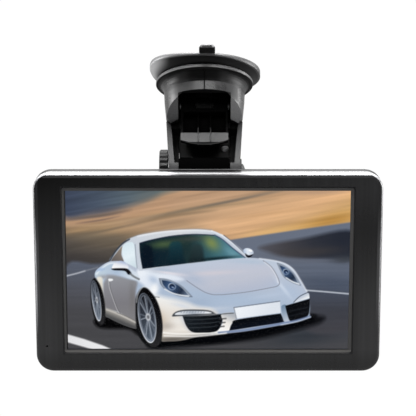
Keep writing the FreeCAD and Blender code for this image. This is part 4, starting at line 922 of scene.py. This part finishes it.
def paint_lamp(p, outline, lens, size, tilt, blade):
    """Swept lamp under clear glass: dark bowl, one small lens, and a light blade along its lower edge."""
    corners = np.array(outline, float)
    middle = corners.mean(0)

    def shrunk(share):
        return [tuple(middle + (corner - middle) * share) for corner in corners]

    left, right = lens[0] - size, lens[0] + size
    low, high = lens[1] - size, lens[1] + size
    p.fill(outline, "464e5c", None, 0.5)
    p.fill(shrunk(0.92), "ced8e4", None, 0.3)
    bowl = shrunk(0.84)
    p.fill(bowl, "182438 3e587e 222e42 96a8c0", (corners[0], corners[len(corners) // 2]), 0.35)
    inner = p.clip(bowl, 0.3)
    ring = ellipse(lens, (size, size * 0.92), tilt)
    p.fill(ring, "c4d0de 62748e", ((left, high), (right, low)), 0.3, clip=inner)
    pupil = ellipse(lens, (size * 0.74, size * 0.68), tilt)
    p.fill(pupil, "0a1222 2a487a", ((lens[0], high), (lens[0], low)), 0.3, clip=inner)
    glint = (lens[0] + 0.2 * size, lens[1] - 0.2 * size)
    p.glow(glint, (0.4 * size, 0.16 * size), "c4d6ec", 0.8, tilt, inner)
    p.line(blade, 0.55, "f4f8fc", 0.3, 0.95)


def paint_nose(p):
    """Lamps, intakes, blank plate and lip."""
    left = [(-26.6, -4.6), (-26.6, -4.6), (-21.4, -5.4), (-14.6, -8.8), (-8.6, -15), (-8.6, -15),
        (-15.6, -14.4), (-21.8, -11.8), (-25.4, -8.2)]
    blade = [(-23.6, -10.6), (-19.4, -12.9), (-14.6, -14.1), (-10.6, -14.7)]
    paint_lamp(p, left, (-19.6, -9.2), 2.2, -30, blade)
    right = [(37.6, 4), (37.6, 4), (41.6, 2.4), (46.6, -1.8), (50.4, -8.4), (50.4, -8.4), (46, -6.8),
        (41.2, -3.4)]
    blade = [(42.6, -4.2), (46, -6.4), (49.6, -7.8)]
    paint_lamp(p, right, (42.4, -0.9), 1.8, -45, blade)
    p.fill([(-13.9, -26), (-13.9, -26), (0, -25.6), (7.6, -24.8), (7.6, -24.8), (7.8, -29), (4.8, -34.4),
        (-3, -35.4), (-8.8, -34.9), (-12, -31.4)], "1a2026 0a0d11", ((-12, -26), (4, -33)))
    for step in range(3):
        v = -27.6 - 2.3 * step
        p.line([(-12 + 0.9 * step, v - 0.4), (0, v), (7.2 - 0.9 * step, v + 0.9)], 0.45, "3e444a", 0.25,
               0.75)
    p.fill([(-19.6, -25.9), (-17.2, -23.3), (-11, -22.2), (0, -22.6), (4.2, -24.6), (4.2, -24.6),
        (-6, -25.3), (-16, -25.9)], "32373e", None, 0.4)
    p.fill([(-18.2, -25), (-16.4, -23.7), (-11, -22.9), (-1, -23.2), (1.8, -24.3), (-7, -24.7),
        (-15, -25.2)], "e2e5ea aab2be eceff3", ((-17, -25), (0, -23)), 0.25)
    for step in range(9):
        u = -14.8 + 1.55 * step
        p.line([(u, -24), (u + 0.5, -23.1)], 0.45, "808896", 0.2, 0.7)
    p.fill([(7.4, -24.6), (14.2, -24), (15.2, -27.4), (12.4, -31), (11.4, -34.2), (5.6, -34.5),
        (6.8, -32.6), (8.2, -29)], "b0b4ba ece8e2 faf8f5", ((12, -25), (8, -34)))
    p.line([(-13.9, -25.8), (0, -25.3), (14, -24.2)], 0.45, "2c3036", 0.25, 0.8)
    for step in range(3):
        v = -27.4 - 2.2 * step
        p.line([(6.6, v - 0.2), (9.8 - 0.5 * step, v + 0.1)], 0.7, "3c3c3e", 0.3, 0.85)
    p.fill([(11.8, -33.8), (13.2, -30.2), (16.4, -27.8), (39.8, -24.4), (39.8, -24.4), (41.3, -28.2),
        (40.2, -29.6), (26, -31.9), (13, -34)], "06080c 0c121e", ((26, -26), (27, -32)))
    p.fill([(14.4, -21.3), (39.3, -17.7), (39.8, -24), (15.8, -27.3)], "eef2f7 dee4ec",
        ((20, -19), (30, -27)), 0.22, curved=False)
    p.line([(14.2, -21), (39.2, -17.4)], 0.5, "686e7a", 0.25, 0.85)
    p.line([(14.2, -21.2), (15.6, -27.4)], 0.5, "848890", 0.25, 0.8)
    p.fill([(40.2, -20.2), (42.6, -19.6), (43.2, -24), (45.2, -28.2), (44, -29.6), (41.6, -28.6),
        (40.4, -24)], "7088a2 bec6d2", ((41, -20), (43, -29)))
    p.fill([(42.2, -20), (42.2, -20), (55.6, -16), (55.6, -16), (55.6, -21), (54.6, -25.8), (50.4, -27.9),
        (45.4, -29), (43.4, -25)], "080a0e 0e1014", ((43, -20), (54, -26)))
    for step in range(2):
        v = -22.4 - 2.7 * step
        p.line([(44.4, v - 0.9), (54.8, v + 1.6)], 0.4, "2c3038", 0.25, 0.7)
    p.fill([(47, -18.2), (50.4, -14.8), (54.6, -12.7), (55.4, -15.6), (55.4, -15.6), (51, -17)],
        "96a4ba f0f2f4", ((50, -13.5), (52, -17)))
    p.line([(46.8, -18), (50.2, -14.6), (54.6, -12.4)], 0.4, "343a46", 0.2, 0.85)
    p.line([(6, -35.4), (20, -33.9), (36, -31), (48, -28.6), (55.6, -26.2)], 1.2, "7486aa", 0.4, 0.95)
    p.line([(-24, -37.2), (-6, -37.4), (10, -35.6)], 0.7, "fcfaf7", 0.4, 0.9)
    p.line([(40, -30.9), (49, -29), (56.2, -26.4)], 0.6, "c4cede", 0.3, 0.9)


def paint_wheel(p, centre, radii, turn, tyre_shift, tyre_grow):
    """Wheel seen aslant: tyre, bright lip, thin twin spokes and a plain hub."""
    top, foot = (centre[0], centre[1] + radii[1]), (centre[0], centre[1] - radii[1])
    middle = (centre[0] + tyre_shift[0], centre[1] + tyre_shift[1])
    tyre = ellipse(middle, (radii[0] + tyre_grow[0], radii[1] + tyre_grow[1]), turn)
    p.fill(tyre, "060608 101114 262628", (top, (centre[0] + radii[0], foot[1])), 0.35)
    p.fill(ellipse(centre, radii, turn), "545a64 b0b8c4 e4e8ee", (top, foot), 0.25)
    groove = ellipse((centre[0] + 0.1, centre[1]), (radii[0] - 0.45, radii[1] - 0.7), turn)
    p.fill(groove, "22262e 606c7e", (top, foot), 0.2)
    rim = ellipse((centre[0] + 0.15, centre[1]), (radii[0] - 0.75, radii[1] - 1.3), turn)
    p.fill(rim, "969ca6 bac0ca", (top, foot), 0.2, 0.7)
    bowl = (radii[0] - 1, radii[1] - 1.8)
    dish = ellipse((centre[0] + 0.2, centre[1]), bowl, turn)
    p.fill(dish, "14161c 343a44 54606e", (top, foot), 0.3)
    inner = p.clip(dish)
    hub = (centre[0] + 0.14 * radii[0], centre[1] + 0.04 * radii[1])
    for k in range(7):
        for split in (-0.13, 0.13):
            tip = on_ellipse(centre, bowl, turn, 2 * math.pi * k / 7 + 0.35 + split)
            spoke = rounded([hub, tip], False)
            box = p.near(spoke, 2)
            away, _ = edge_distance(p.uu[box], p.vv[box], spoke, False)
            cover = np.clip(0.5 + (0.06 * radii[0] - away) / 0.6, 0, 1) * inner[box]
            p.lay(box, cover * 0.8, tone("a8b0bc" if split > 0 else "707884"))
    p.fill(ellipse(hub, (radii[0] * 0.3, radii[1] * 0.15), turn), "bcc0c6", None, 0.35)
    p.fill(ellipse(hub, (radii[0] * 0.15, radii[1] * 0.075), turn), "686a70", None, 0.3)


def paint_wheels(p):
    p.fill([(-39.6, -20), (-38.6, -13.4), (-35.6, -9.6), (-32, -11), (-29.2, -16.6), (-27.2, -26),
        (-25.6, -40), (-32, -43.4), (-38.6, -36)], "0a0b0d 101113", ((-36, -10), (-30, -42)), 0.45)
    p.line([(-39, -18), (-38.2, -13.4), (-35.4, -9.4), (-32, -10.6), (-29, -16.4), (-27.4, -24)], 0.5,
        "eef0f2", 0.4, 0.7)
    paint_wheel(p, (-33.4, -27), (4.7, 14.4), 8.5, (1.9, -0.5), (1.6, 1.9))
    p.fill([(-63.8, -10), (-62.8, -5.4), (-61, -4.6), (-59.6, -9), (-58.4, -18), (-57, -27), (-57.6, -32),
        (-61, -30), (-63.6, -20)], "08080a", None, 0.5)
    paint_wheel(p, (-61, -17.2), (2.3, 11.7), 7, (1.2, -1), (1.1, 1.2))


def lit_picture():
    """Generic silver coupe on an open road, shown on the display."""
    p = Painting()
    paint_hills(p)
    paint_road(p)
    paint_shadow(p)
    paint_cabin(p)
    paint_body(p)
    paint_mirrors(p)
    paint_nose(p)
    paint_wheels(p)
    shown = np.clip(p.rgb, 0, 1)
    linear = np.where(shown <= 0.04045, shown / 12.92, ((shown + 0.055) / 1.055) ** 2.4)
    depth = np.full(p.uu.size, PICTURE_Y * MM)
    verts = np.stack([p.uu.ravel() * MM, depth, p.vv.ravel() * MM], 1)
    start = (np.arange(ROWS - 1)[:, None] * COLS + np.arange(COLS - 1)[None, :]).ravel()
    faces = np.stack([start, start + 1, start + COLS + 1, start + COLS], 1)
    g = Graph("lit_picture")
    paint = g.add("Attribute", attribute_name="paint")
    speck = g.noise(1500, 2, 0.5)
    material = g.finish(g.glow(paint.outputs["Color"], g.span(speck, 0.985, 1.015)))
    picture = add_piece("lit_picture", verts.tolist(), faces.tolist(), material, "display")
    colours = picture.data.attributes.new("paint", "FLOAT_COLOR", "POINT")
    opaque = np.ones((p.uu.size, 1))
    colours.data.foreach_set("color", np.concatenate([linear.reshape(-1, 3), opaque], 1).ravel())


# ---------------------------------------------------------------- stage, light and camera
def stage_material():
    """Pale paper: white to the camera, and a steady soft bounce to everything else."""
    g = Graph("pale_floor")
    path = g.add("LightPath")
    cloud = g.noise(3, 2, 0.5)
    tint = g.mix(g.span(cloud, 0, 1), (0.985, 0.985, 0.985, 1), (1, 1, 1, 1))
    strength = g.span(path.outputs["Is Camera Ray"], FLOOR_BOUNCE, 1.02, 0, 1)
    return g.finish(g.glow(tint, strength))


def floor_sweep():
    """Pale floor that curves up into a backdrop behind the object."""
    level = CAD_BOX[0].z - FLOOR_DROP
    line = [(FLOOR_FRONT, level), (FLOOR_BACK, level)]
    for i in range(1, 13):
        a = math.radians(90 * i / 12)
        line.append((FLOOR_BACK + FLOOR_CURVE * math.sin(a), level + FLOOR_CURVE * (1 - math.cos(a))))
    verts = [(x, y, z) for y, z in line for x in (-FLOOR_SIDE, FLOOR_SIDE)]
    faces = [(2 * i, 2 * i + 1, 2 * i + 3, 2 * i + 2) for i in range(len(line) - 1)]
    add_mesh("floor_sweep", verts, faces, stage_material())


def studio_world():
    """Studio surroundings: bright behind, dim in front, a little lighter low down in front."""
    g = Graph("studio", "World")
    _, y, z = g.split(g.tex_coord.outputs["Generated"])
    behind = g.span(y, 0, WORLD_BACK, -0.35, 0.55, smooth=True)
    low_front = g.span(z, 0.05, WORLD_LOW_FRONT, -0.10, -0.42, smooth=True)
    path = g.add("LightPath")
    strength = g.most(g.most(behind, low_front), path.outputs["Is Camera Ray"])
    bpy.context.scene.world = g.finish(g.plug(g.add("Background"), Strength=strength))


def area_light(name, place, target, size, radiance):
    """Rectangular soft light whose face has the given brightness."""
    data = bpy.data.lights.new(name, "AREA")
    data.shape = "RECTANGLE"
    data.size, data.size_y = size
    data.energy = radiance * math.pi * size[0] * size[1]
    obj = bpy.data.objects.new(name, data)
    obj.location = place
    obj.rotation_euler = (Vector(target) - Vector(place)).to_track_quat("-Z", "Y").to_euler()
    bpy.context.scene.collection.objects.link(obj)


def lights():
    area_light("top_softbox", (0, 0.05, 1.15), (0, 0.03, 0), (1.6, 0.7), 22)
    area_light("high_front_softbox", (0, -0.85, 0.95), (0, 0.03, 0.05), (1.3, 0.4), 4)
    area_light("left_strip", (-1, 0.12, 0), (0, 0, 0), (0.6, 0.5), 9)
    area_light("right_strip", (1, 0.12, 0), (0, 0, 0), (0.8, 0.6), 13)


def camera():
    """Looks along +Y from a little above, as far back as the object's own perspective asks."""
    data = bpy.data.cameras.new("camera")
    data.sensor_width = 36
    data.lens = CAMERA_LENS
    data.clip_start, data.clip_end = 0.05, 20
    obj = bpy.data.objects.new("camera", data)
    back = Vector((0, -math.cos(CAMERA_RISE), math.sin(CAMERA_RISE)))
    obj.location = CAMERA_AIM + back * CAMERA_DISTANCE
    obj.rotation_mode = "QUATERNION"
    obj.rotation_quaternion = (-back).to_track_quat("-Z", "Y")
    bpy.context.scene.collection.objects.link(obj)
    bpy.context.scene.camera = obj


materials = paint_nodes()
suction_cup(materials["cup_rubber"])
pull_tab(materials["cup_rubber"])
lit_picture()
floor_sweep()
studio_world()
lights()
camera()
bpy.context.scene.view_settings.view_transform = "Standard"
